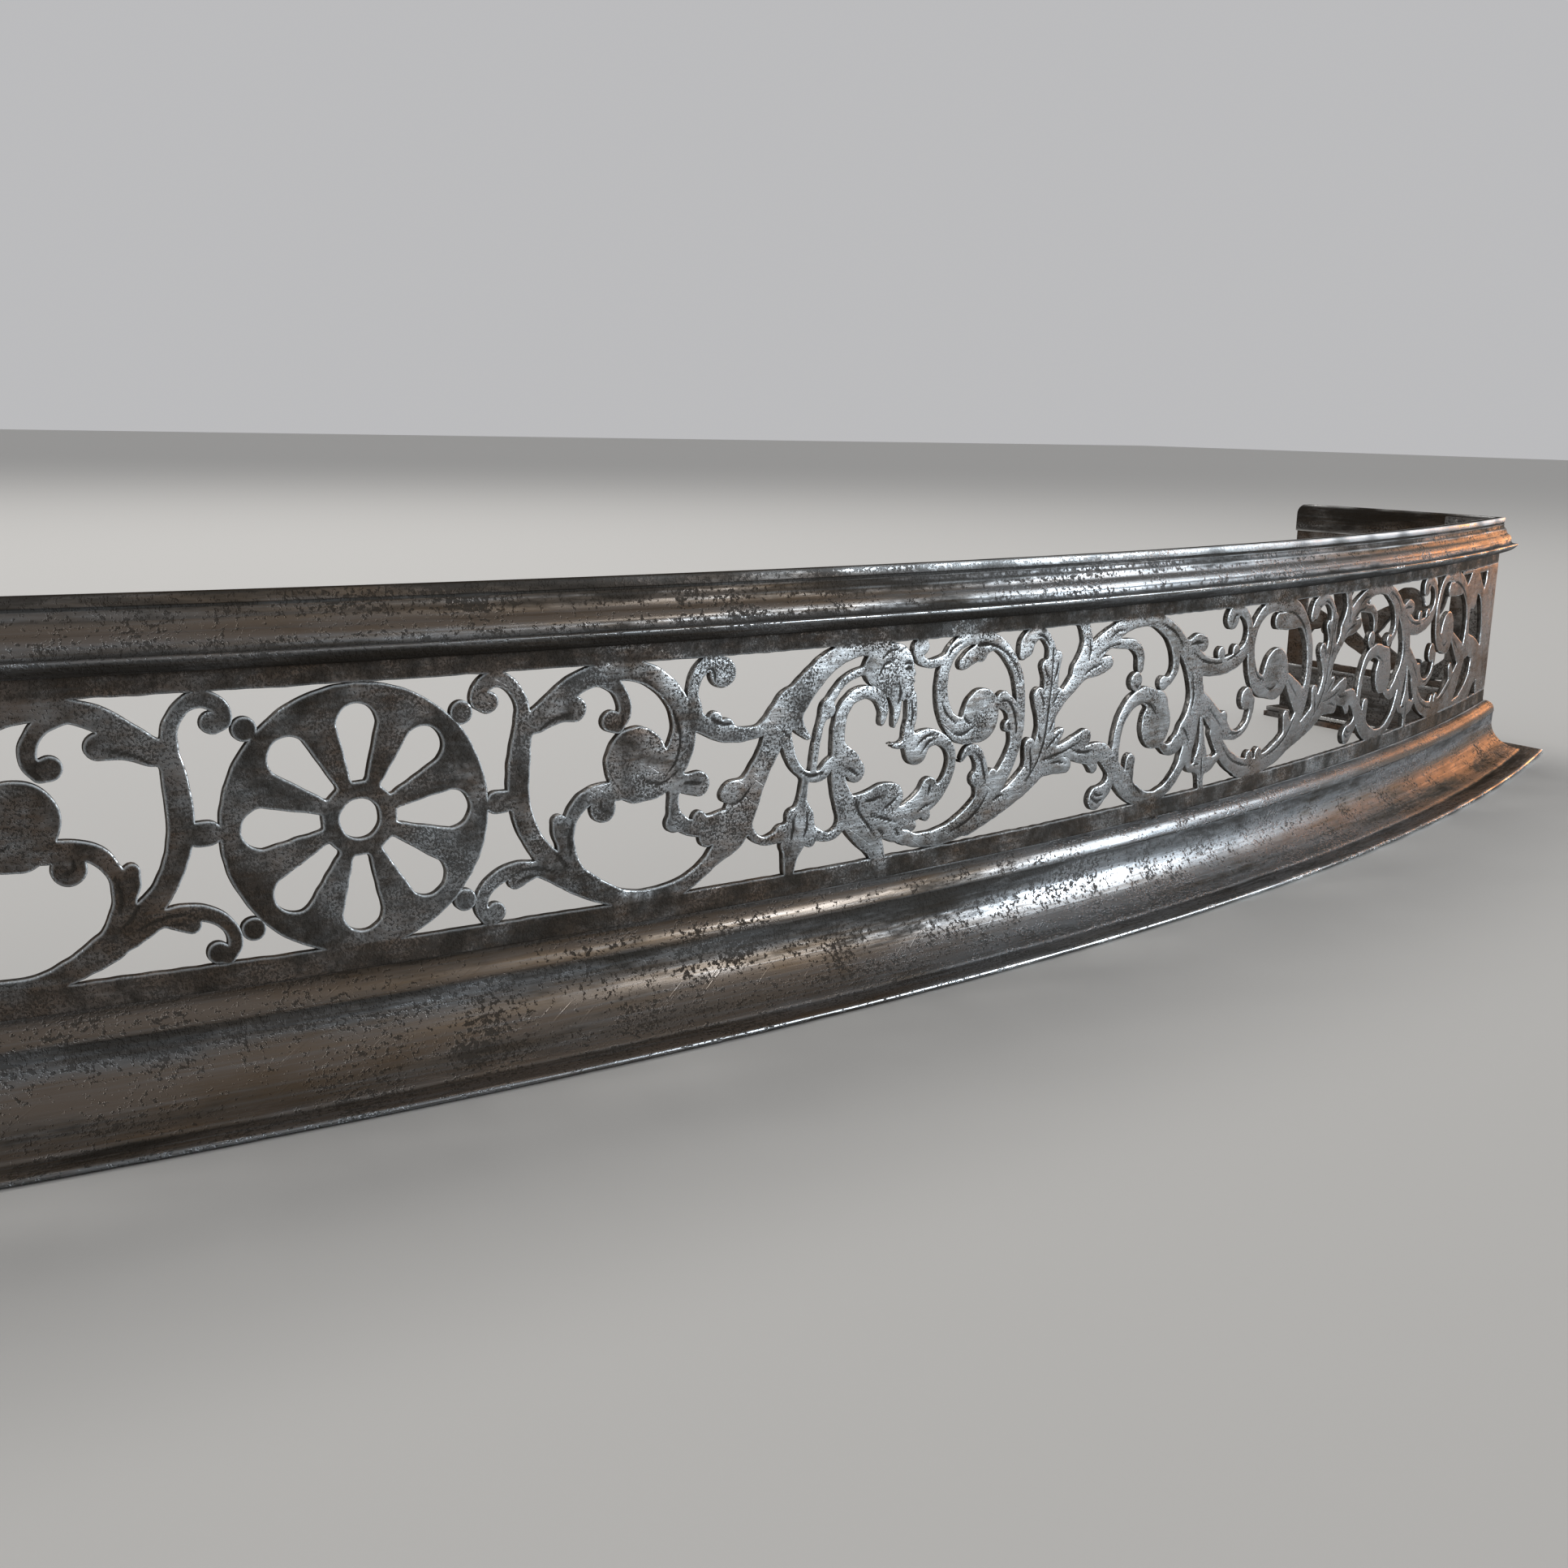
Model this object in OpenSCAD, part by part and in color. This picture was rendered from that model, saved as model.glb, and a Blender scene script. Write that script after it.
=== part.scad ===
// Bow-fronted fire fender: pierced steel frieze between a moulded top rail and a
// moulded base, with straight returns. Floor at z = 0, front towards -Y.

/* [Plan] */

// Width between the outer faces of the two returns
frieze_w = 1388; // [1360:2:1420]
// Forward rise of the bow over that width
bow_rise = 156; // [146:2:166]
// Length of each return behind its corner
return_l = 140; // [130:1:150]

/* [Frieze] */

// Height of the pierced band
open_h = 70; // [66:1:76]
// Thickness of the frieze plate
sheet_t = 2.6; // [2.2:0.1:2.8]
// Plain margin below the pierced band
low_margin = 6.5; // [5:0.5:10]
// Plain margin above the pierced band
high_margin = 5.4; // [4:0.2:10]
// How much wider the middle rosette is than the pierced band
rosette_over = 2; // [1:0.1:3]
// Round end of each rosette petal
petal_d = 10.6; // [9:0.1:11.5]
// Distance of that round end from the hub
petal_reach = 25.2; // [24:0.1:26]
// Hole in the rosette hub
hub_d = 10.6; // [8:0.1:13]

/* [Mouldings] */

// Height of the top rail
rail_h = 19.1; // [18:0.1:22]
// Reach of the top rail lip in front of the frieze
rail_out = 8.3; // [7.6:0.1:12]
// Height of the base moulding
base_h = 29.5; // [28:0.5:34]
// Reach of the base lip in front of the frieze
base_out = 31.6; // [28:0.2:36]
// Wall of the base moulding
base_wall = 2.5; // [2:0.1:2.6]
// Depth to which the frieze edge enters the rail and the base
groove_deep = 5.2; // [4:0.1:6]
// Rounding of the rear top corner of each return rail
rail_end_r = 6; // [3:0.5:9]

/* [Fixings] */

// Thickness of the foot plate
foot_t = 3; // [2:0.1:3.2]
// Reach of the foot plate behind the frieze
foot_in = 19; // [17.5:0.5:26]
// Reach of the foot plate in front of the frieze
foot_out = 8; // [5:0.5:9]
// Length of each leg of a corner bracket
bracket_l = 32; // [28:1:40]
// Thickness of a corner bracket
bracket_t = 2.5; // [2:0.1:3]
// Height of an upper corner bracket
high_bracket_h = 7.6; // [7:0.1:8.2]
// Height of a lower corner bracket
low_bracket_h = 16; // [12:0.5:18]
// Shank diameter of the bracket fixings
pin_d = 3.2; // [2.8:0.1:3.6]
// Shank diameter of the foot plate rivets
rivet_d = 4; // [3:0.1:4.6]
// Number of rivets along the front foot plate
front_rivets = 9; // [5:2:13]
// Number of rivets along each return foot plate
side_rivets = 2; // [2:1:3]

/* [Fits] */

// Clearance between seated faces
seat_gap = 0.3; // [0.2:0.05:0.4]
// Clearance of a shank in its hole, on the diameter
hole_gap = 0.3; // [0.2:0.05:0.4]
// Joint gap at the mitred corners
mitre_gap = 0.3; // [0.2:0.05:0.5]

/* [Hidden] */

half_w = frieze_w / 2;
bow_r = (half_w * half_w + bow_rise * bow_rise) / (2 * bow_rise);
bow_a = asin(half_w / bow_r);
arc_half = bow_r * bow_a * PI / 180;
depth = base_out + bow_rise + return_l;
face_y = base_out - depth / 2;
bow_y = face_y + bow_r;
corner_y = face_y + bow_rise;
low_z = base_h + low_margin;
high_z = low_z + open_h;
rail_z = high_z + high_margin;
top_z = rail_z + rail_h;
edge_low = base_h - groove_deep;
edge_high = rail_z + 4 + groove_deep;
back_d = sheet_t + seat_gap;
rail_back = back_d + 1.3;
leg_back = back_d + base_wall;
flange_z = foot_t + seat_gap;
flange_in = 17;
high_bracket_z = top_z - 5.2;
low_bracket_z = flange_z + base_wall + 13;
draw_l = 717;
draw_h = 70;
draw_r = 36;
rosette_d = open_h + rosette_over;
steel = [0.42, 0.42, 0.43];
iron = [0.27, 0.26, 0.25];

// Strands of the scroll beside the rosette, as [along the face, height, width]
FIRST = [
  [[35.5, 60.9, 3], [33.2, 62.8, 4], [34.6, 66.4, 4.6], [38.6, 68.3, 4.4], [43, 66.6, 4.2],
   [46, 62, 4], [46.8, 57, 4.4]],
  [[46.8, 57, 4.4], [45.8, 49, 6.2], [45, 41, 6.8], [45.2, 34, 6.4], [47, 27, 6], [50.3, 20.6, 6],
   [55, 15, 7], [61.5, 9.6, 8.4], [69, 4.9, 7], [78, 1.2, 5.4], [87, 0.1, 5.4], [96, 1.4, 5.4],
   [103.6, 5, 4.8], [110, 10, 5.6], [115.4, 15.2, 9]],
  [[47.5, 54, 5], [52, 57, 6], [57, 61, 6.6], [63, 65.2, 6.4], [71, 67.6, 6], [80, 68, 6.4],
   [88, 65.4, 6.6], [94, 60.4, 6.8], [97.6, 54, 7.6], [98, 47, 8.6], [94.6, 40, 10],
   [88.5, 36, 12], [82, 36, 14]],
  [[51, 56, 7], [57, 58.6, 8], [62.6, 58.2, 7]],
  [[71, 66.5, 5], [75.6, 63.6, 4.4], [78, 59.6, 4.4], [78.2, 55.6, 4.4], [76, 52.6, 4.6]],
  [[60.4, 12, 8], [59.4, 19, 5.4], [60.6, 26, 4.2], [64, 31, 4.8], [69, 33.4, 5], [76, 33.4, 6]],
  [[59.5, 18, 4], [57.6, 23, 5], [57.2, 26.4, 4.6]],
  [[58, 11, 7], [51, 13.6, 5], [44, 14.4, 4.6], [38, 12.6, 4.2], [34, 8.6, 3.8], [33.4, 4.6, 3.8],
   [35.4, 1.6, 4]],
  [[48, 12.6, 4], [43.6, 11, 4.6]],
  [[102, 55, 4.4], [101.2, 60.4, 4], [103, 65.4, 4.4], [107.2, 68.4, 4.8], [111, 67, 5]],
  [[100, 52, 5], [105, 49.6, 5], [111, 47.6, 6], [118, 46, 5], [125, 46.4, 4.2], [131, 49.4, 7],
   [136, 54, 9]],
  [[101.4, 57, 4], [103.4, 52.6, 4], [106, 50, 4]],
  [[95, 34, 6], [99.6, 32.9, 6.4], [103.4, 32.6, 7.6]],
  [[95, 31.6, 3.6], [94.8, 27.4, 3.4], [95.6, 23.4, 4.6], [99.4, 20, 5], [105, 18.6, 5.6],
   [112, 18.6, 8]],
];
// Round ends in that scroll, as [along the face, height, diameter]
FIRST_DOTS = [[36.6, 62.2, 5.6], [37.6, 3, 6], [82.2, 41.4, 20.4], [73.9, 53.8, 6.4],
 [71.2, 28.8, 8.4], [111.6, 65.2, 9.4], [109, 51.4, 5], [113.4, 49, 5], [94.9, 21.6, 6],
 [103.6, 22, 5], [106.6, 15.6, 5.4]];
// Rising stem with its tassel
STEM = [
  [[110, 10, 5.6], [115.6, 15.2, 10], [118.8, 22.6, 11.6], [123.6, 31, 8.4], [128.4, 39, 7.4],
   [132, 46, 9], [137.4, 52.6, 10], [143.4, 58.8, 8.4], [149.8, 64.2, 7.4], [157, 67.8, 6.6],
   [165, 69.4, 6], [174, 68, 7]],
  [[119, 28, 9], [115.4, 28.6, 7], [113.6, 28, 5]],
  [[112, 20, 7], [106, 20, 5]],
  [[115, 14, 7], [109.6, 15.6, 5], [106.6, 15.6, 4.4]],
  [[137.6, 51, 7], [140.6, 46, 4], [144.4, 42.4, 1.6]],
  [[134.6, 46, 5], [136.4, 39.6, 4], [139.4, 34, 3.6], [144, 30.4, 3.4], [149.4, 30.2, 4],
   [152.4, 33, 4], [155.2, 34.6, 3.2]],
  [[171, 61.4, 2.8], [164, 61.4, 2.8], [157.6, 58.8, 2.8], [152.6, 53.4, 3], [149.4, 47.4, 2.6],
   [147.4, 40, 2.6], [146.2, 32, 2.8]],
  [[143.4, 30, 3], [142.6, 25, 3], [142, 20, 4]],
  [[142.6, 20, 5.4], [141.6, 15, 11], [139.4, 10, 8.6], [138, 5.6, 6], [137.4, 1, 4.4]],
  [[141, 14.4, 8], [134.4, 13, 5], [128.4, 11.8, 3], [124.2, 13.4, 2.8], [121.6, 17, 3]],
  [[141, 14.4, 8], [147.4, 11.6, 4.6], [152.6, 9.8, 3.2], [157, 11.4, 3.4], [159.6, 15.6, 4.6]],
];
// Round ends of the stem and tassel
STEM_DOTS = [[151.6, 50.6, 6], [138.6, 18.4, 5], [144, 18, 4.6], [134.4, 13.6, 5], [136, 9.4, 4],
 [145.6, 9.6, 4.4]];
// Body of the foliate figure and the leaf below it
TORSO = [
  [[174, 44.4, 2.2], [174.8, 48.6, 3.6], [172, 53.4, 4.4], [166, 54.9, 4.4], [160.6, 53, 4.6],
   [157, 48, 5], [156, 41.6, 5.2], [156.2, 35, 5.4], [156.4, 28, 5.6], [158.6, 21.6, 7.4],
   [162, 15.6, 9.4], [167, 10, 10], [171.6, 5, 8], [174.4, 0, 5.6]],
  [[157, 37, 6], [160.6, 33.6, 7.6], [163.6, 29.8, 7.6]],
  [[163, 18, 8], [169, 18.8, 8], [175.6, 19.8, 9.6], [179.6, 19.4, 9.6]],
  [[167, 12, 9], [175, 12.6, 9], [183, 12.2, 8], [189.6, 14.4, 8], [194.4, 18, 8],
   [196, 20.6, 7.4]],
  [[176, 9, 6], [181.6, 7, 5.4], [185.4, 4.8, 4]],
  [[184, 11, 5], [189, 8.6, 3.6]],
  [[191, 14, 7], [198.4, 17.4, 6.4], [203.4, 21.6, 4.4], [206, 27.6, 3.8], [204.8, 33, 4],
   [200.2, 36.6, 4.6], [194.4, 37.2, 6.6], [189, 35, 9]],
  [[171.8, 62.2, 12], [176, 61, 13]],
];
// Round ends of that leaf
TORSO_DOTS = [[180, 7, 4.4], [189.6, 33.6, 9.6], [195, 11.4, 4]];
// Beard locks of the head
HEAD = [
  [[186.6, 52, 4.4], [187, 46, 4.6], [185.8, 40, 4.6], [187, 36, 6]],
  [[179.4, 53, 5], [180.4, 48, 3.6], [179.4, 43, 1.8]],
  [[187, 38.6, 3.4], [182, 36.2, 2.4], [176.6, 37.6, 1.2]],
];
// Small curl hanging from the upper margin
CURL = [
  [[200.4, 62.8, 3.6], [194.4, 61.9, 3.2], [190, 63.6, 3.6], [188.6, 67.2, 4], [190.4, 69.4, 4]],
];
// Round end of the small curl
CURL_DOTS = [[191, 67.6, 5.4]];
// First running scroll
SCROLL = [
  [[218, 40, 12], [210.4, 38.4, 9.4], [204.2, 42, 6.6], [201, 48, 5.6], [200.2, 55, 5],
   [202, 62, 5], [206.8, 67.2, 4.8], [214, 69.4, 5], [223, 67.9, 5], [231, 63, 5],
   [236.8, 55, 4.8], [238.9, 46, 4.6], [238.6, 36, 5], [235.4, 27, 6], [229.6, 19, 7],
   [221.6, 11.6, 9], [212, 5.8, 8], [201, 3.2, 6], [191, 3.4, 5], [186, 5, 5]],
  [[226, 66.4, 3], [219.4, 65.2, 5], [213, 62.6, 5.4], [209.4, 60.6, 4]],
  [[237, 30, 4], [236, 37, 5], [234.4, 43.6, 6], [230.4, 46.8, 5.6]],
  [[223, 12, 8], [221.4, 19, 7.4], [220.4, 26, 5.4], [217.4, 30.6, 4.4], [213.4, 31, 3],
   [210.6, 28, 1.4]],
  [[226, 16, 5], [226, 21.6, 4.4]],
];
// Round ends of the first running scroll
SCROLL_DOTS = [[219.2, 43.4, 17], [219, 42, 17], [218.4, 63, 4.4], [233, 37.6, 4.6],
 [229.4, 46.8, 5.8], [218.4, 21, 5.6]];
// Upright acanthus plume and its side leaves
PLUME = [
  [[215, 4, 5], [225, 8.6, 7.4], [235, 12.8, 8], [243.4, 17.4, 9.4], [249.4, 23, 11],
   [252.4, 30, 10], [253.4, 39, 9], [254.4, 48, 8], [255, 56, 6.4], [253.8, 63, 4.2],
   [250, 67.6, 4], [245, 68.4, 5.4], [241, 65.6, 7], [239, 61.8, 4]],
  [[245.6, 23, 6], [244.6, 29.4, 5.6]],
  [[252, 38, 7], [248.4, 46.6, 6.4]],
  [[254, 51, 5], [251.4, 56.8, 5]],
  [[255, 53, 5], [257.4, 59.4, 5]],
  [[254.6, 40, 6], [258.6, 46, 5.6]],
  [[253, 26, 6], [258.6, 30.6, 5], [262, 33, 2.6]],
  [[250, 21.6, 8], [257, 21, 7], [265, 20.2, 5.8]],
  [[254, 24.6, 6], [262, 25.6, 5.4], [270, 27.4, 6.6], [275.4, 29, 6.6]],
  [[266, 24.4, 4], [273, 22.8, 6], [280, 22.6, 7.6], [286.6, 22.4, 7], [291, 18.6, 4.8],
   [292.4, 13, 4.8], [290, 8.6, 5.4], [284.6, 5.8, 7.6]],
  [[279, 21, 6], [281, 17.4, 4.6]],
];
// Round ends of the plume
PLUME_DOTS = [[283.4, 5.4, 8.6], [241, 63.6, 6]];
// Facing pair of scrolls
PAIR = [
  [[256, 40, 5], [262, 45.4, 4.8], [268, 50.4, 6.4], [273, 56.4, 9], [274, 63, 5.6],
   [272.6, 68, 5], [271, 71, 5]],
  [[270, 54, 8], [279, 60, 8.4], [288, 65, 7], [297, 68.2, 5.4], [306, 69.4, 5], [315, 68.6, 5.4],
   [323, 65.4, 6.4], [330, 60.6, 7.4], [336.4, 54.6, 7.2], [341.2, 47, 6.6], [343.6, 39, 6.2],
   [342.8, 31.6, 7], [339, 25.4, 7.4], [333, 19.6, 6.6], [327, 18.6, 4.4], [322, 21.6, 3.4]],
  [[274, 54, 7], [281, 54.2, 6.6], [286.6, 55.4, 5.4]],
  [[286, 63, 5], [294, 61.6, 4], [301, 60.6, 4.4], [305.6, 57, 4.6], [306.2, 51.6, 4]],
  [[317, 68, 5], [324.4, 62.4, 4.6], [328.6, 56, 4.6], [329.4, 49.6, 4.2], [326.4, 45.8, 3.6],
   [323, 44.6, 4]],
  [[286.6, 20.6, 5], [294, 14.6, 7.4], [300, 8.8, 8.6], [307, 3.8, 7.6], [315, 1.2, 5.4],
   [323, 1.4, 4.8], [331, 4.8, 5], [336.6, 10, 5.2], [340.4, 16, 7], [343, 22, 8], [345, 29, 6.6],
   [347, 36, 5.4], [347, 44, 4]],
  [[293.6, 17, 5], [294, 25, 4.6], [296.4, 33, 5], [302, 39, 5.6], [310, 41, 6.6], [317, 38, 9]],
  [[303, 10, 6], [303.6, 17, 6]],
  [[341, 24, 7], [337.6, 26, 5]],
];
// Round ends of the facing pair
PAIR_DOTS = [[304, 46.8, 7.6], [321.8, 44.6, 5.6], [318.6, 29.4, 19], [332, 21, 4], [320, 36, 12]];
// Hanging husk and the low leaf
HUSK = [
  [[347.6, 40, 5], [349.4, 32, 2], [350.8, 24, 3], [351.6, 17, 5], [352, 11, 9], [352.6, 5, 4.6],
   [353, 0, 4]],
  [[341.6, 16, 6], [343.6, 9.6, 3.6], [350, 9, 5], [357, 8.6, 6], [363, 10.6, 3.6],
   [366, 13, 3.6]],
  [[345, 38, 6], [351, 34, 8], [358, 28.4, 9], [365.4, 23, 9], [372, 19.4, 5], [379, 18.6, 3.6],
   [385, 21.4, 3.2], [388, 26.6, 3.6], [388, 31, 5]],
  [[360, 22, 6], [366, 14.6, 7], [373, 8.6, 7.4], [382, 4.6, 7.6], [391, 2.6, 7.6]],
];
// Round ends of the husk and low leaf
HUSK_DOTS = [[346, 45.5, 4], [383.8, 32.6, 9.4], [349, 11.6, 4.6], [357.6, 9.8, 5.4],
 [366.6, 26.4, 6]];
// Upper leaf with its curl
CREST = [
  [[336, 57, 6], [343, 52, 8.6], [351, 48.4, 7.6], [361, 47.4, 7], [371, 48.6, 6.6],
   [378, 51.4, 6], [381.6, 56, 4.4], [382.2, 61, 4.2], [379.4, 65.8, 4.4], [374, 68.6, 4.6],
   [369, 67.6, 5]],
  [[339, 57, 6], [344, 58.6, 6.6], [348, 57.6, 6.4]],
];
// Round ends of the upper leaf
CREST_DOTS = [[361.4, 52.6, 5.6], [372.4, 52.8, 5.4], [368.4, 66, 9.2]];
// Second running scroll, with a larger eye
BOLD = [
  [[406, 38, 15], [396, 36.4, 9.4], [389, 40, 7.6], [385.4, 46.4, 6.4], [384.4, 54, 5.4],
   [387, 61.4, 5.2], [392.6, 66.6, 5], [401, 69, 5.4], [412, 68.6, 6.6], [422, 65.2, 7.6],
   [430.6, 58.4, 6.2], [435.8, 49.6, 5.4], [437, 40, 5], [435.6, 31, 6], [432, 23, 7],
   [426, 15.6, 8.6], [417, 9, 9.4], [405, 4.8, 8], [393, 3.2, 7.6], [381, 4.4, 7.4]],
  [[424, 62, 8], [415, 61.8, 7.6], [405.8, 62.2, 7]],
  [[430, 27, 12], [424, 32, 9], [416.6, 38.4, 4.4]],
  [[421.4, 15, 8], [418.8, 21.4, 5]],
];
// Round ends of the second running scroll
BOLD_DOTS = [[406.8, 40.4, 21.6], [389.6, 7.8, 6], [397, 8, 6]];
// Positions along the face where the running pattern stands and repeats
REPEAT = [
  [[0, 0], [500, 500]],
  [[186, 372], [198, 383.5], [218, 406.5], [241, 439.5], [254, 457], [272, 471], [294, 493],
   [304, 502], [318, 520], [350, 554], [368, 572], [382, 588], [391, 598]],
];
// Positions of the last scroll before the corner
LAST = [[378, 584], [381.6, 590.4], [385.4, 595], [396, 603.6], [418, 625.4], [434.4, 650.6],
 [439.6, 657]];
// Plain plate at the corner
END_BLOCK = [[632, 70], [717, 70], [717, 0], [600, 0], [612, 4], [640, 12], [648, 24], [652, 40],
 [652, 54], [646, 60], [638, 65]];
// Openings in the corner plate
END_HOLES = [
  [[636, 68], [645, 62], [649, 64.4], [653, 68]],
  [[671, 67], [679, 61.4], [686, 57.6], [689, 61], [690, 67]],
  [[657.6, 49], [665, 48.4], [669, 50.6], [671, 56], [677, 54.6], [682.6, 50], [687, 42],
   [690, 34], [690, 27], [681, 30.4], [671, 33.4], [659, 36], [657, 42]],
  [[655, 23], [663, 23.6], [671, 21.6], [669, 14], [662, 9], [650, 4], [638, 3], [646, 11]],
  [[673, 0], [682, 6.4], [690, 8], [692, 0]],
];

// Round cap of the head
HEAD_DOTS = [[178.6, 61, 16.8]];
// Beads between the rosette and the scrolls beside it
BEADS = [[28.6, 60, 6.4], [26.6, 58.2, 5], [28.6, 8, 6.4], [26.6, 9.8, 5], [38.2, 34.2, 6.4],
  [40.8, 34.2, 6.4]];
// Profile of the head under its round cap
BROW = [[179, 69], [184, 66.4], [186.4, 62.6], [188.8, 59.2], [187.4, 58.2], [188.2, 56.8],
  [187.2, 55.8], [188, 54.8], [187, 52.6], [183, 50.6], [176, 53]];
// Return pattern: the second scroll and a plume brought round the corner
SIDE_SCROLL = [[375, 22], [440, 87]];
SIDE_PLUME = [[215, 63], [254, 103], [272, 118], [295, 138]];
// Leaf that joins the return scroll to the corner margin
SIDE_LEAF = [[[14, 60, 8], [22, 56, 6], [30, 55, 5]], [[12, 22, 10], [20, 12, 9], [30, 5, 7]]];

// The drawing starts from the edge of the rosette and is stretched to reach the corner
function along(u) = rosette_d / 2 + (u - draw_r) * (arc_half - rosette_d / 2) / (draw_l - draw_r);
// A height drawn in the pierced band, and a place along the bow seen square on
function at(q, bend) = bend
  ? [bow_r * sin(along(q[0]) / bow_r * 180 / PI), low_z + q[1] / draw_h * open_h]
  : [q[0], low_z + q[1] / draw_h * open_h];
function aim(a, b) = atan2(b[1] - a[1], b[0] - a[0]);
function turn(p, i) = abs((aim(p[i], p[i + 1]) - aim(p[i - 1], p[i]) + 900) % 360 - 180);
// Gentle bends need fewer points than tight ones
function thin(p) = [for (i = [0 : len(p) - 1])
  if (i % 2 == 0 || i == len(p) - 1 || turn(p, i) > 28) p[i]];
function heading(p, i) = aim(p[max(i - 1, 0)], p[min(i + 1, len(p) - 1)]);
function rim(p, a) = [p[0] + p[2] / 2 * cos(a), p[1] + p[2] / 2 * sin(a)];
function side(p, i, s) = rim(p[i], heading(p, i) + 90 * s);
function place(list, table) =
  [for (s = list) [for (p = s) [lookup(p[0], table), p[1], p[2]]]];
function spot(list, table) = [for (p = list) [lookup(p[0], table), p[1], p[2]]];

module blank(points, bend) polygon([for (q = points) at(q, bend)]);

module tip(p, a, bend) {
  n = p[2] > 7 ? 4 : 3;
  blank([for (t = [0 : n]) rim(p, a - 90 + 180 * t / n)], bend);
}

module strand(points, bend) {
  p = thin(points);
  n = len(p) - 1;
  for (i = [0 : n - 1])
    blank([side(p, i, 1), side(p, i, -1), side(p, i + 1, -1), side(p, i + 1, 1)], bend);
  tip(p[0], heading(p, 0) + 180, bend);
  tip(p[n], heading(p, n), bend);
}

module leaf(strands, dots, bend) {
  for (s = strands) strand(s, bend);
  for (c = dots) {
    n = c[2] > 12 ? 16 : 7;
    blank([for (t = [1 : n]) rim(c, 360 * t / n)], bend);
  }
}

module running(table) {
  leaf(place(PLUME, table), spot(PLUME_DOTS, table), true);
  leaf(place(PAIR, table), spot(PAIR_DOTS, table), true);
  leaf(place(HUSK, table), spot(HUSK_DOTS, table), true);
  leaf(place(CREST, table), spot(CREST_DOTS, table), true);
}

module ornament() {
  leaf(FIRST, FIRST_DOTS, true);
  leaf(STEM, STEM_DOTS, true);
  leaf(TORSO, TORSO_DOTS, true);
  leaf(HEAD, HEAD_DOTS, true);
  blank(BROW, true);
  leaf(CURL, CURL_DOTS, true);
  leaf(SCROLL, SCROLL_DOTS, true);
  leaf(BOLD, BOLD_DOTS, true);
  leaf(place(BOLD, LAST), spot(BOLD_DOTS, LAST), true);
  running(REPEAT[0]);
  running(REPEAT[1]);
  leaf([], BEADS, true);
  difference() {
    blank(END_BLOCK, true);
    for (h = END_HOLES) blank(h, true);
  }
}

module rosette() {
  translate([0, low_z + open_h * 0.486]) difference() {
    circle(d = rosette_d, $fn = 48);
    circle(d = hub_d, $fn = 20);
    for (a = [0 : 45 : 315]) rotate(a) hull() {
      translate([0, petal_reach]) circle(d = petal_d, $fn = 12);
      translate([-2.3, 9.7]) square([4.6, 1]);
    }
  }
}

module margins(x, l) {
  translate([x, edge_low]) square([l, low_z - edge_low + 0.01]);
  translate([x, high_z - 0.01]) square([l, edge_high - high_z + 0.01]);
}

// Side of the mitre on which the front pieces lie, less half the joint
function mitre(d) = [half_w + d, bow_y - sqrt(pow(bow_r + d, 2) - pow(half_w + d, 2))];
mitre_in = mitre(-60);
mitre_out = mitre(60);
mitre_a = aim(mitre_in, mitre_out);

module front_side(gap) {
  g = gap / 2 * [sin(mitre_a), -cos(mitre_a)];
  a = mitre_in + g;
  b = mitre_out + g;
  translate([0, 0, -1]) linear_extrude(top_z + 2)
    polygon([[-b[0], b[1]], [-a[0], a[1]], a, b, [b[0], -depth], [-b[0], -depth]]);
}

module side_side(gap) {
  g = gap / 2 * [sin(mitre_a), -cos(mitre_a)];
  a = mitre_in - g;
  b = mitre_out - g;
  translate([0, 0, -1]) linear_extrude(top_z + 2)
    polygon([a, b, [b[0], depth], [a[0], depth]]);
}

// Profiles as [distance in front of the frieze face, height]
function rail_profile() = [for (p = [[seat_gap, 0], [2.4, 0.2], [4.6, 1], [6.6, 2.3], [rail_out - 0.3, 3.8],
    [rail_out, 4.4], [rail_out, 4.9], [rail_out - 0.8, 5.2], [6, 5.2], [5.2, 5.8], [4.8, 6.8],
    [4.8, 7.8], [4.4, 8.8], [3.7, 9.8], [2.7, 10.6], [2.2, 11.6], [1.9, 13], [1, 13.7], [0.7, 14.6],
    [0.9, 15.5], [0.4, 15.8], [0.4, 16.2], [0.9, 16.4], [0.9, rail_h - 0.4], [0.5, rail_h],
    [-rail_back, rail_h], [-rail_back, 3], [-back_d, 3], [-back_d, edge_high + seat_gap - rail_z],
    [seat_gap, edge_high + seat_gap - rail_z]]) [p[0], rail_z + p[1]]];
function cove(reach, rise, in = 0, up = 0) =
  [5.5 + (base_out - 17.1) * reach - in * base_wall, 1.9 + (base_h - 15.6) * rise - up * base_wall];
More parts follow.
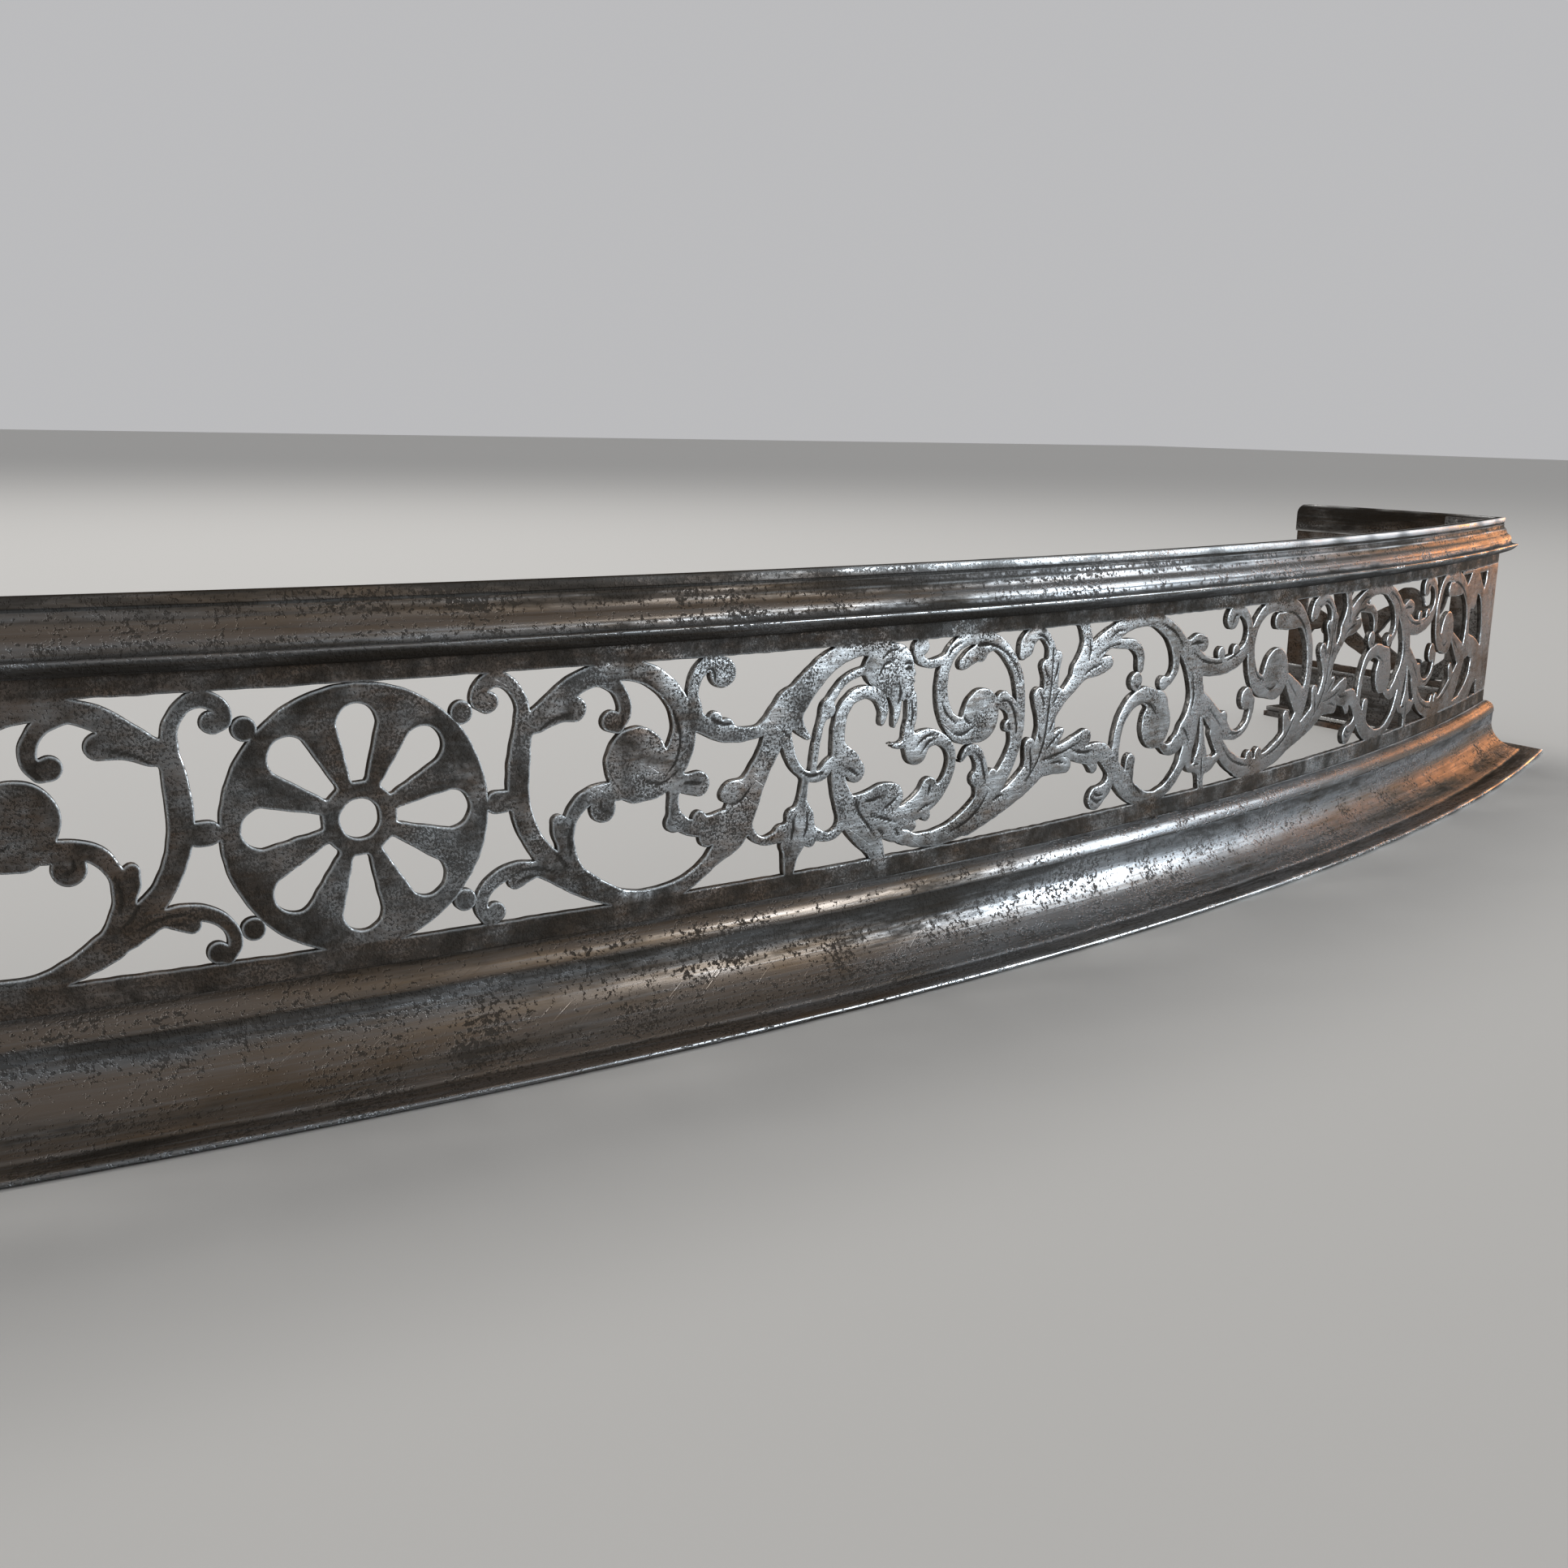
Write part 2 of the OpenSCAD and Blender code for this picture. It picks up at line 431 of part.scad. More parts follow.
function base_profile() = let (w = base_wall, h = base_h, o = base_out) [
    [seat_gap, h], [1.9, h - 0.3], [3.5, h - 1.1], [4.9, h - 2.4], [5.7, h - 4.2], [6, h - 6.2],
    [5.6, h - 7.2], cove(0, 1), cove(0.055, 0.777), cove(0.166, 0.554), cove(0.359, 0.324),
    cove(0.641, 0.129), cove(1, 0), [o - 10.9, 1.2], [o - 0.8, 2], [o - 0.2, 1.7], [o, 1.1],
    [o - 0.2, 0.4], [o - 0.7, 0], [o - 14.6, 0], cove(0.641, 0.129, 0.48, 0.88),
    cove(0.359, 0.324, 0.66, 0.75), cove(0.166, 0.554, 0.82, 0.57), cove(0.055, 0.777, 0.96, 0.28),
    [5.5 - w, h - 13], [5.5 - w, edge_low - seat_gap - w], [-back_d, edge_low - seat_gap - w],
    [-back_d, flange_z + w], [-back_d - 0.01, flange_z], [-flange_in, flange_z],
    [-flange_in, flange_z + w], [-leg_back, flange_z + w], [-leg_back, base_h + 3],
    [-back_d, base_h + 3], [-back_d, edge_low - seat_gap], [seat_gap, edge_low - seat_gap]];

// A section carried round the bow, and one carried straight back from the corner
module round_bow(profile) {
  translate([0, bow_y]) rotate(-90 - bow_a - 3) rotate_extrude(angle = 2 * bow_a + 6, $fn = 720)
    polygon([for (p = profile) [bow_r + p[0], p[1]]]);
}
module on_return(v) {
  translate([half_w, corner_y + v]) rotate(90) children();
}
module along_return(profile, from = -40, to = return_l) {
  on_return(from) rotate([90, 0, 90]) linear_extrude(to - from)
    polygon([for (p = profile) [-p[0], p[1]]]);
}
module on_bow(u) {
  translate([0, bow_y]) rotate(u / bow_r * 180 / PI) translate([0, -bow_r]) children();
}
module peg(d, from, to, z) {
  translate([0, from, z]) rotate([-90, 0, 0]) cylinder(d = d, h = to - from, $fn = 32);
}
function strip(from, to, z, h) = [[-from, z], [-to, z], [-to, z + h], [-from, z + h]];

// Places of the bracket fixings, measured back from the corner
PIN_AT = [0.36, 0.78];
module at_pins() {
  for (k = PIN_AT) {
    on_bow(arc_half - 5 - k * (bracket_l - 8)) children();
    on_return(5 + k * (bracket_l - 8)) children();
  }
}
module front_rivet_places() {
  n = front_rivets - 1;
  for (i = [0 : n])
    on_bow((arc_half - 60) * (2 * i / n - 1)) translate([0, 11.5]) children();
}
module side_rivet_places() {
  for (i = [0 : side_rivets - 1])
    on_return(45 + i * (return_l - 70) / (side_rivets - 1)) translate([0, 11.5]) children();
}

module front_frieze() color(steel) {
  intersection() {
    rotate([90, 0, 0]) translate([0, 0, -depth]) linear_extrude(2 * depth) intersection() {
      union() {
        margins(-half_w - 5, frieze_w + 10);
        rosette();
        ornament();
        mirror([1, 0]) ornament();
      }
      translate([-half_w - 5, edge_low]) square([frieze_w + 10, edge_high - edge_low]);
    }
    linear_extrude(top_z) polygon(concat(
      [for (i = [-10.5 : 10.5]) let (a = i * bow_a / 10) [sin(a), -cos(a)] * (bow_r + 0.15) + [0, bow_y]],
      [for (i = [-10.5 : 10.5]) let (a = -i * bow_a / 10)
        [sin(a), -cos(a)] * (bow_r - sheet_t + 0.15) + [0, bow_y]]));
    front_side(mitre_gap);
  }
}

module side_frieze() color(steel) {
  intersection() {
    on_return(0) translate([0, sheet_t]) rotate([90, 0, 0]) linear_extrude(sheet_t)
      offset(delta = 0.01) intersection() {
        union() {
          margins(-40, return_l + 40);
          translate([-40, edge_low]) square([65, edge_high - edge_low]);
          translate([return_l - 12, edge_low]) square([12, edge_high - edge_low]);
          leaf(place(BOLD, SIDE_SCROLL), spot(BOLD_DOTS, SIDE_SCROLL), false);
          leaf(place(PLUME, SIDE_PLUME), spot(PLUME_DOTS, SIDE_PLUME), false);
          leaf(SIDE_LEAF, [], false);
        }
        translate([-40, edge_low]) square([return_l + 40, edge_high - edge_low]);
      }
    side_side(mitre_gap);
  }
}
module right_frieze() side_frieze();
module left_frieze() mirror([1, 0, 0]) side_frieze();

module front_top_rail() color(steel) {
  difference() {
    intersection() {
      round_bow(rail_profile());
      front_side(mitre_gap);
    }
    upper_sinks();
    mirror([1, 0, 0]) upper_sinks();
  }
}
module upper_sinks() at_pins() peg(pin_d + hole_gap, rail_back - 2.6, rail_back + 1, high_bracket_z);
module side_top_rail() color(steel) {
  difference() {
    intersection() {
      along_return(rail_profile());
      side_side(mitre_gap);
    }
    upper_sinks();
    translate([half_w - 20, corner_y + return_l - rail_end_r, top_z - rail_end_r])
      rotate([90, 0, 90]) linear_extrude(40) difference() {
        square(rail_end_r + 1);
        circle(r = rail_end_r, $fn = 48);
      }
  }
}
module right_top_rail() side_top_rail();
module left_top_rail() mirror([1, 0, 0]) side_top_rail();

module lower_holes() at_pins() peg(pin_d + hole_gap, back_d - 1, leg_back + 1, low_bracket_z);
module foot_holes() translate([0, 0, -1]) cylinder(d = rivet_d + hole_gap, h = 12, $fn = 32);
module front_base_moulding() color(steel) {
  difference() {
    intersection() {
      round_bow(base_profile());
      front_side(mitre_gap);
    }
    lower_holes();
    mirror([1, 0, 0]) lower_holes();
    front_rivet_places() foot_holes();
  }
}
module side_base_moulding() color(steel) {
  difference() {
    intersection() {
      along_return(base_profile());
      side_side(mitre_gap);
    }
    lower_holes();
    side_rivet_places() foot_holes();
  }
}
module right_base_moulding() side_base_moulding();
module left_base_moulding() mirror([1, 0, 0]) side_base_moulding();

module front_foot_plate() color(iron) {
  difference() {
    intersection() {
      round_bow(strip(-foot_out, foot_in, 0, foot_t));
      front_side(mitre_gap);
    }
    front_rivet_places() foot_holes();
  }
}
module side_foot_plate() color(iron) {
  difference() {
    intersection() {
      along_return(strip(-foot_out, foot_in, 0, foot_t));
      side_side(mitre_gap);
    }
    side_rivet_places() foot_holes();
  }
}
module right_foot_plate() side_foot_plate();
module left_foot_plate() mirror([1, 0, 0]) side_foot_plate();

// A point on the bow in plan, and the direction where the bow meets the line of a return
function bow_point(a, d) = [(bow_r + d) * sin(a), bow_y - (bow_r + d) * cos(a)];
function bow_end(d) = asin((half_w + d) / (bow_r + d));

// Bent strip across the mitre, its front leg following the bow
module bracket(back, z, h) color(iron) {
  a = (arc_half - bracket_l) / bow_r * 180 / PI;
  b = -back - seat_gap;
  c = b - bracket_t;
  difference() {
    translate([0, 0, z - h / 2]) linear_extrude(h) polygon(concat(
      [for (i = [0 : 6]) bow_point(a + (bow_end(b) - a) * i / 6, b)],
      [[half_w + b, corner_y + bracket_l], [half_w + c, corner_y + bracket_l]],
      [for (i = [6 : -1 : 0]) bow_point(a + (bow_end(c) - a) * i / 6, c)]));
    at_pins() peg(pin_d + hole_gap, back - 1, back + bracket_t + 2, z);
  }
}
module right_upper_bracket() bracket(rail_back, high_bracket_z, high_bracket_h);
module left_upper_bracket() mirror([1, 0, 0]) right_upper_bracket();
module right_lower_bracket() bracket(leg_back, low_bracket_z, low_bracket_h);
module left_lower_bracket() mirror([1, 0, 0]) right_lower_bracket();

// Domed head on a shank that runs towards -Y from its seat
module pin(seat, to, z) {
  head = pin_d * 1.8;
  translate([0, seat, z]) rotate([-90, 0, 0]) rotate_extrude($fn = 32) intersection() {
    translate([0, head * 0.26 - head * 0.6]) circle(r = head * 0.6, $fn = 48);
    square([head / 2, head]);
  }
  peg(pin_d, to, seat + 0.2, z);
}
module upper_screws() {
  at_pins() pin(rail_back + 2 * seat_gap + bracket_t, rail_back - 2.3, high_bracket_z);
}
module upper_bracket_screws() color(iron) {
  upper_screws();
  mirror([1, 0, 0]) upper_screws();
}
module lower_rivets() {
  at_pins() pin(leg_back + 2 * seat_gap + bracket_t, back_d - 0.6, low_bracket_z);
}
module lower_bracket_rivets() color(iron) {
  lower_rivets();
  mirror([1, 0, 0]) lower_rivets();
}
module foot_rivet() {
  head = rivet_d * 1.9;
  seat = flange_z + base_wall + seat_gap;
  translate([0, 0, seat]) rotate_extrude($fn = 32) intersection() {
    translate([0, head * 0.26 - head * 0.6]) circle(r = head * 0.6, $fn = 48);
    square([head / 2, head]);
  }
  translate([0, 0, 0.4]) cylinder(d = rivet_d, h = seat - 0.2, $fn = 32);
}
module foot_plate_rivets() color(iron) {
  front_rivet_places() foot_rivet();
  side_rivet_places() foot_rivet();
  mirror([1, 0, 0]) side_rivet_places() foot_rivet();
}

front_frieze();
left_frieze();
right_frieze();
front_top_rail();
left_top_rail();
right_top_rail();
front_base_moulding();
left_base_moulding();
right_base_moulding();
front_foot_plate();
left_foot_plate();
right_foot_plate();
left_upper_bracket();
right_upper_bracket();
left_lower_bracket();
right_lower_bracket();
upper_bracket_screws();
lower_bracket_rivets();
foot_plate_rivets();
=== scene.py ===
import bpy
import math
import numpy as np
from mathutils import Matrix, Vector


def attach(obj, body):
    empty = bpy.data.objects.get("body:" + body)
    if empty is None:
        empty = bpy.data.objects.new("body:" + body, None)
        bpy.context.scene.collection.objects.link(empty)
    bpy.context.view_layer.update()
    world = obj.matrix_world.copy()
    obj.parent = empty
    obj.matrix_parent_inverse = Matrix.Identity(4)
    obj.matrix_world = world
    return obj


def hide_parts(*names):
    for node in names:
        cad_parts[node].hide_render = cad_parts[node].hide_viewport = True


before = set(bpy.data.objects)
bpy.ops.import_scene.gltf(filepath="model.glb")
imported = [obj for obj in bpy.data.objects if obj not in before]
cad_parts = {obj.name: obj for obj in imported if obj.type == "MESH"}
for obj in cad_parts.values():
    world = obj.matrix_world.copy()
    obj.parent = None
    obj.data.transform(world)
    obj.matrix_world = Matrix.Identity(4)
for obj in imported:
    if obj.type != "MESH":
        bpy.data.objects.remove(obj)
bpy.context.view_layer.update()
mm, tiny = 0.001, 1e-9
print("fender: frame loaded")

# the plan, in metres: a bow of one radius between two straight returns
plan = {"halfWidth": 0.694, "bowRise": 0.156, "arcHalf": 0.717, "returnLength": 0.140,
        "totalDepth": 0.3276, "baseReach": 0.0316, "bandLow": 0.036, "bandHeight": 0.070,
        "plate": 0.0026, "mitreGap": 0.00012}
half, arcHalf = plan["halfWidth"], plan["arcHalf"]
bowRadius = (half ** 2 + plan["bowRise"] ** 2) / (2 * plan["bowRise"])  # circle through both corners
faceY = plan["baseReach"] - plan["totalDepth"] / 2
bowY = faceY + bowRadius
cornerY = faceY + plan["bowRise"]

# the photo's camera: place in metres, turns in degrees, focal length and width in its pixels
view = {"place": (-0.13587, -0.55092, 0.17401), "turn": 32.77, "dip": 12.93, "roll": 1.26,
        "focalPixels": 2066.3, "widePixels": 1932, "sensor": 36, "shift": (-0.00466, 0.01346),
        "clip": (0.01, 60)}


def makeCamera(v):
    # looks along ahead, from turn and dip; the image's right and up are turned by the roll
    turn, dip, roll = (math.radians(v[k]) for k in ("turn", "dip", "roll"))
    ahead = Vector((math.sin(turn) * math.cos(dip), math.cos(turn) * math.cos(dip), -math.sin(dip)))
    level = Vector((math.cos(turn), -math.sin(turn), 0))
    upright = level.cross(ahead)
    right = level * math.cos(roll) + upright * math.sin(roll)
    up = upright * math.cos(roll) - level * math.sin(roll)
    data = bpy.data.cameras.new("photoView")
    data.lens = v["focalPixels"] / v["widePixels"] * v["sensor"]
    data.sensor_width, data.sensor_fit = v["sensor"], "HORIZONTAL"
    data.shift_x, data.shift_y = v["shift"]
    data.clip_start, data.clip_end = v["clip"]
    cam = bpy.data.objects.new("photoView", data)
    bpy.context.scene.collection.objects.link(cam)
    pose = Matrix((right, up, -ahead)).transposed().to_4x4()
    cam.matrix_world = Matrix.Translation(v["place"]) @ pose
    bpy.context.scene.camera = cam


makeCamera(view)

# tools that all pieces share


def splineThrough(points, steps):
    # Catmull-Rom curve through hand-set points, steps pieces to each span
    p = np.asarray(points, float)
    if len(p) < 3:
        t = np.linspace(0, 1, steps + 1)[:, None]
        return p[0] + (p[-1] - p[0]) * t
    e = np.vstack([2 * p[0] - p[1], p, 2 * p[-1] - p[-2]])
    a, b, c, d = (e[i:len(e) - 3 + i][:, None] for i in range(4))
    t = (np.arange(steps) / steps)[None, :, None]
    q = b + 0.5 * t * ((c - a) + t * ((2 * a - 5 * b + 4 * c - d) + t * (3 * b - 3 * c + d - a)))
    return np.vstack([q.reshape(-1, p.shape[1]), p[-1]])


def unevenness(x, y, seed, waves, low, high):
    # a sum of sine waves with seeded directions, phases and lengths between low and high, about -1..1
    pick = np.random.default_rng(seed)
    total = np.zeros(np.broadcast(x, y).shape)
    for _ in range(waves):
        k = low * (high / low) ** pick.random()
        turn = pick.random() * math.pi
        total += np.sin(k * (x * math.cos(turn) + y * math.sin(turn)) + pick.random() * 6.28)
    return total / math.sqrt(waves)


def facesVolume(points, polys):
    # six times the volume inside the faces, by a fan from each first corner; negative if they face inwards
    return sum(np.einsum("ij,ij->i", points[q[:, 0]], np.cross(points[q[:, i]], points[q[:, i + 1]])).sum()
               for q in polys for i in range(1, q.shape[1] - 1))


def meshPiece(name, points, polys, material, marks, sharpFrom=50):
    # joins arrays of triangles, quads and longer faces to one mesh, turned to face outwards;
    # marks are the values at each point that the materials read
    used, back = np.unique(np.concatenate([p.ravel() for p in polys]), return_inverse=True)
    cuts = np.cumsum([p.size for p in polys])[:-1]
    polys = [q.reshape(-1, p.shape[1]) for q, p in zip(np.split(back.ravel(), cuts), polys)]
    points = np.asarray(points, float)[used]
    if facesVolume(points, polys) < 0:
        polys = [q[:, ::-1] for q in polys]
    me = bpy.data.meshes.new(name)
    me.vertices.add(len(points))
    me.vertices.foreach_set("co", points.ravel())
    corners = np.concatenate([q.ravel() for q in polys]).astype(np.int32)
    counts = np.concatenate([np.full(len(q), q.shape[1]) for q in polys])
    me.loops.add(len(corners))
    me.loops.foreach_set("vertex_index", corners)
    me.polygons.add(len(counts))
    starts = np.concatenate(([0], np.cumsum(counts)[:-1])).astype(np.int32)
    me.polygons.foreach_set("loop_start", starts)
    me.update(calc_edges=True)
    for key, values in marks.items():
        values = np.asarray(values, np.float32)[used]
        kind, field = ("FLOAT_VECTOR", "vector") if values.ndim == 2 else ("FLOAT", "value")
        me.attributes.new(key, kind, "POINT").data.foreach_set(field, values.ravel())
    me.materials.append(material)
    me.shade_smooth()
    me.set_sharp_from_angle(angle=math.radians(sharpFrom))
    piece = bpy.data.objects.new(name, me)
    bpy.context.scene.collection.objects.link(piece)
    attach(piece, "root")
    print("  %s: %d points, %d faces" % (name, len(points), len(counts)))
    return piece


def feed(tree, x, socket):
    # a number or a colour is typed into the socket, an output is linked to it
    if isinstance(x, (int, float, tuple)):
        socket.default_value = x
    else:
        tree.links.new(x, socket)


def wire(tree, *pairs):
    # feeds each pair, a value or an output and the socket it goes to
    for x, socket in pairs:
        feed(tree, x, socket)


def node(tree, kind, values=None, **settings):
    # one shader node, its settings and the values of its inputs
    n = tree.nodes.new("ShaderNode" + kind)
    for key, value in settings.items():
        setattr(n, key, value)
    for key, value in (values or {}).items():
        n.inputs[key].default_value = value
    return n


def mathNode(tree, operation, a, b, clamp=False):
    # arithmetic on two values, numbers or outputs
    n = node(tree, "Math", operation=operation, use_clamp=clamp)
    wire(tree, (a, n.inputs[0]), (b, n.inputs[1]))
    return n.outputs[0]


# the three that come most often


def plus(tree, a, b, clamp=False):
    return mathNode(tree, "ADD", a, b, clamp)


def minus(tree, a, b, clamp=False):
    return mathNode(tree, "SUBTRACT", a, b, clamp)


def times(tree, a, b, clamp=False):
    return mathNode(tree, "MULTIPLY", a, b, clamp)


def scaled(tree, vector, by):
    # each axis of the vector times its own number
    n = node(tree, "VectorMath", operation="MULTIPLY")
    wire(tree, (vector, n.inputs[0]), (by, n.inputs[1]))
    return n.outputs[0]


def mixColour(tree, mask, a, b):
    # colour a where the mask is 0, b where it is 1
    n = node(tree, "Mix", data_type="RGBA")
    wire(tree, (mask, n.inputs[0]), (a, n.inputs[6]), (b, n.inputs[7]))
    return n.outputs[2]


def softStep(tree, value, low, high):
    # 0 under low, 1 over high, a smooth slope between them
    n = node(tree, "MapRange", interpolation_type="SMOOTHSTEP")
    wire(tree, (value, n.inputs[0]), (low, n.inputs[1]), (high, n.inputs[2]))
    return n.outputs[0]


def noise(tree, place, scale, **values):
    # fractal noise at a place, scale in clouds to the metre
    n = node(tree, "TexNoise", values)
    wire(tree, (place, n.inputs["Vector"]), (scale, n.inputs["Scale"]))
    return n.outputs[0]


def startGroup(name, ins, outs):
    # a shared group: an input without a value is a vector, the others and the outputs are numbers
    tree = bpy.data.node_groups.new(name, "ShaderNodeTree")
    for key, value in ins.items():
        kind = "NodeSocketVector" if value is None else "NodeSocketFloat"
        s = tree.interface.new_socket(key, in_out="INPUT", socket_type=kind)
        if value is not None:
            s.default_value = value
    for key in outs:
        tree.interface.new_socket(key, in_out="OUTPUT", socket_type="NodeSocketFloat")
    return tree, tree.nodes.new("NodeGroupInput").outputs, tree.nodes.new("NodeGroupOutput").inputs


def useGroup(tree, group, **values):
    # a shared group with its inputs fed by name
    n = tree.nodes.new("ShaderNodeGroup")
    n.node_tree = group
    for key, x in values.items():
        feed(tree, x, n.inputs[key])
    return n.outputs


def startMaterial(name):
    # a new material, its tree and its main shader
    mat = bpy.data.materials.new(name)
    mat.use_nodes = True
    return mat, mat.node_tree, mat.node_tree.nodes["Principled BSDF"]


# effects that the finishes share: how much each noise counts, where its mask begins and where it's full
cloudShape = {"fineTimes": 9.0, "fineShare": 0.35, "edge": 0.72, "coverShare": 0.44}
scratchShape = {"turn": 0.6, "stretch": (120, 2600, 2600), "size": 0.37, "from": 0.66, "full": 0.74}
pitShape = {"patchTimes": 16.0, "patchShare": 0.55, "coverShare": 0.3, "from": 0.62, "full": 0.74}


def buildPatina(s):
    # cloudy mask: smooth step of a wide noise broken up by a finer one
    tree, ins, outs = startGroup("oldPatina", {"Place": None, "Size": 30.0, "Cover": 0.5, "Soft": 0.12},
                                 ["Mask"])
    wide = noise(tree, ins["Place"], ins["Size"], Detail=5.0, Roughness=0.6, Distortion=0.6)
    fine = noise(tree, ins["Place"], times(tree, ins["Size"], s["fineTimes"]), Detail=3.0, Roughness=0.7)
    both = plus(tree, wide, times(tree, minus(tree, fine, 0.5), s["fineShare"]))
    edge = minus(tree, s["edge"], times(tree, ins["Cover"], s["coverShare"]))
    mask = softStep(tree, both, minus(tree, edge, ins["Soft"]), plus(tree, edge, ins["Soft"]))
    wire(tree, (mask, outs["Mask"]))
    return tree


def buildScratches(s):
    # long thin streaks: noise squeezed across the run of the metal, and a few crossing ones
    tree, ins, outs = startGroup("rubbedScratches", {"Place": None, "Along": 25.0, "Across": 1400.0},
                                 ["Streaks", "Lines"])
    by = node(tree, "CombineXYZ")
    wire(tree, (ins["Along"], by.inputs[0]), (ins["Across"], by.inputs[1]), (ins["Across"], by.inputs[2]))
    streaks = noise(tree, scaled(tree, ins["Place"], by.outputs[0]), 1.0, Detail=3.0, Roughness=0.6)
    turned = node(tree, "VectorRotate", {"Angle": s["turn"]}, rotation_type="Z_AXIS")
    wire(tree, (ins["Place"], turned.inputs["Vector"]))
    lines = noise(tree, scaled(tree, turned.outputs[0], s["stretch"]), s["size"], Detail=1.0)
    wire(tree, (streaks, outs["Streaks"]), (softStep(tree, lines, s["from"], s["full"]), outs["Lines"]))
    return tree


def buildPits(s):
    # rust pits: fine noise above a threshold, gathered in patches by a wide noise
    tree, ins, outs = startGroup("rustPits", {"Place": None, "Size": 900.0, "Cover": 0.3}, ["Mask", "Height"])
    fine = noise(tree, ins["Place"], ins["Size"], Detail=3.0, Roughness=0.65)
    wideSize = mathNode(tree, "DIVIDE", ins["Size"], s["patchTimes"])
    patch = noise(tree, ins["Place"], wideSize, Detail=4.0, Roughness=0.6)
    gather = times(tree, minus(tree, patch, 0.5), s["patchShare"])
    level = plus(tree, plus(tree, fine, gather), times(tree, ins["Cover"], s["coverShare"]))
    mask = softStep(tree, level, s["from"], s["full"])
    wire(tree, (mask, outs["Mask"]), (minus(tree, 1.0, mask), outs["Height"]))
    return tree


patina, scratches, pits = buildPatina(cloudShape), buildScratches(scratchShape), buildPits(pitShape)

# the old steel: colours, the black for soot and for painted shade, the bright for rubbed edges and their
# painted highlight, then how far each kind of mark covers it; sizes in clouds to the metre
sootAndShadeBlack, rubbedAndGlintBright = (0.016, 0.0135, 0.011, 1), (0.5, 0.5, 0.49, 1)
steelLook = {
    "frieze": {"bright": (0.195, 0.19, 0.183, 1), "dull": (0.058, 0.052, 0.046, 1),
               "brown": (0.075, 0.047, 0.03, 1), "polish": 0.33, "rough": 0.46, "dullCover": 0.4,
               "brownCover": 0.12, "pitCover": 0.24, "pitSize": 1300.0, "along": 90.0,
               "across": 500.0, "grain": 0.5, "stretch": 1.0},
    "moulding": {"bright": (0.2, 0.199, 0.198, 1), "dull": (0.062, 0.053, 0.044, 1),
                 "brown": (0.08, 0.051, 0.03, 1), "polish": 0.24, "rough": 0.42, "dullCover": 0.32,
                 "brownCover": 0.05, "pitCover": 0.2, "pitSize": 800.0, "along": 14.0,
                 "across": 900.0, "grain": 0.3, "stretch": 0.22}}
steelClouds = {"dull": {"Size": 26.0, "Soft": 0.16}, "brown": {"Size": 14.0, "Soft": 0.2},
               "soot": {"Size": 60.0, "Soft": 0.2}}
steelShare = {"streakDull": 1.2, "brown": 0.8, "soot": 0.9, "pit": 0.8, "pitFromSoot": 0.5,
              "wornPower": 2.5, "wornFrom": 0.4, "dirtRough": 0.4, "streakRough": 0.12,
              "shineSmooth": 0.15, "pitHeight": 0.9, "lineDepth": 0.12, "brownCovers": 0.5}
steelTint = (0.55, 0.53, 0.5, 1)  # what a grazing look sees; lower than white, or the rail glares
bumpLook = {"Strength": 0.6, "Distance": 0.0004}


def finishMaterial(tree, shader, colour, rough, height):
    # colour, roughness and a fine bump from the height go to the shader
    bump = node(tree, "Bump", bumpLook)
    wire(tree, (colour, shader.inputs["Base Color"]), (rough, shader.inputs["Roughness"]),
         (height, bump.inputs["Height"]), (bump.outputs[0], shader.inputs["Normal"]))


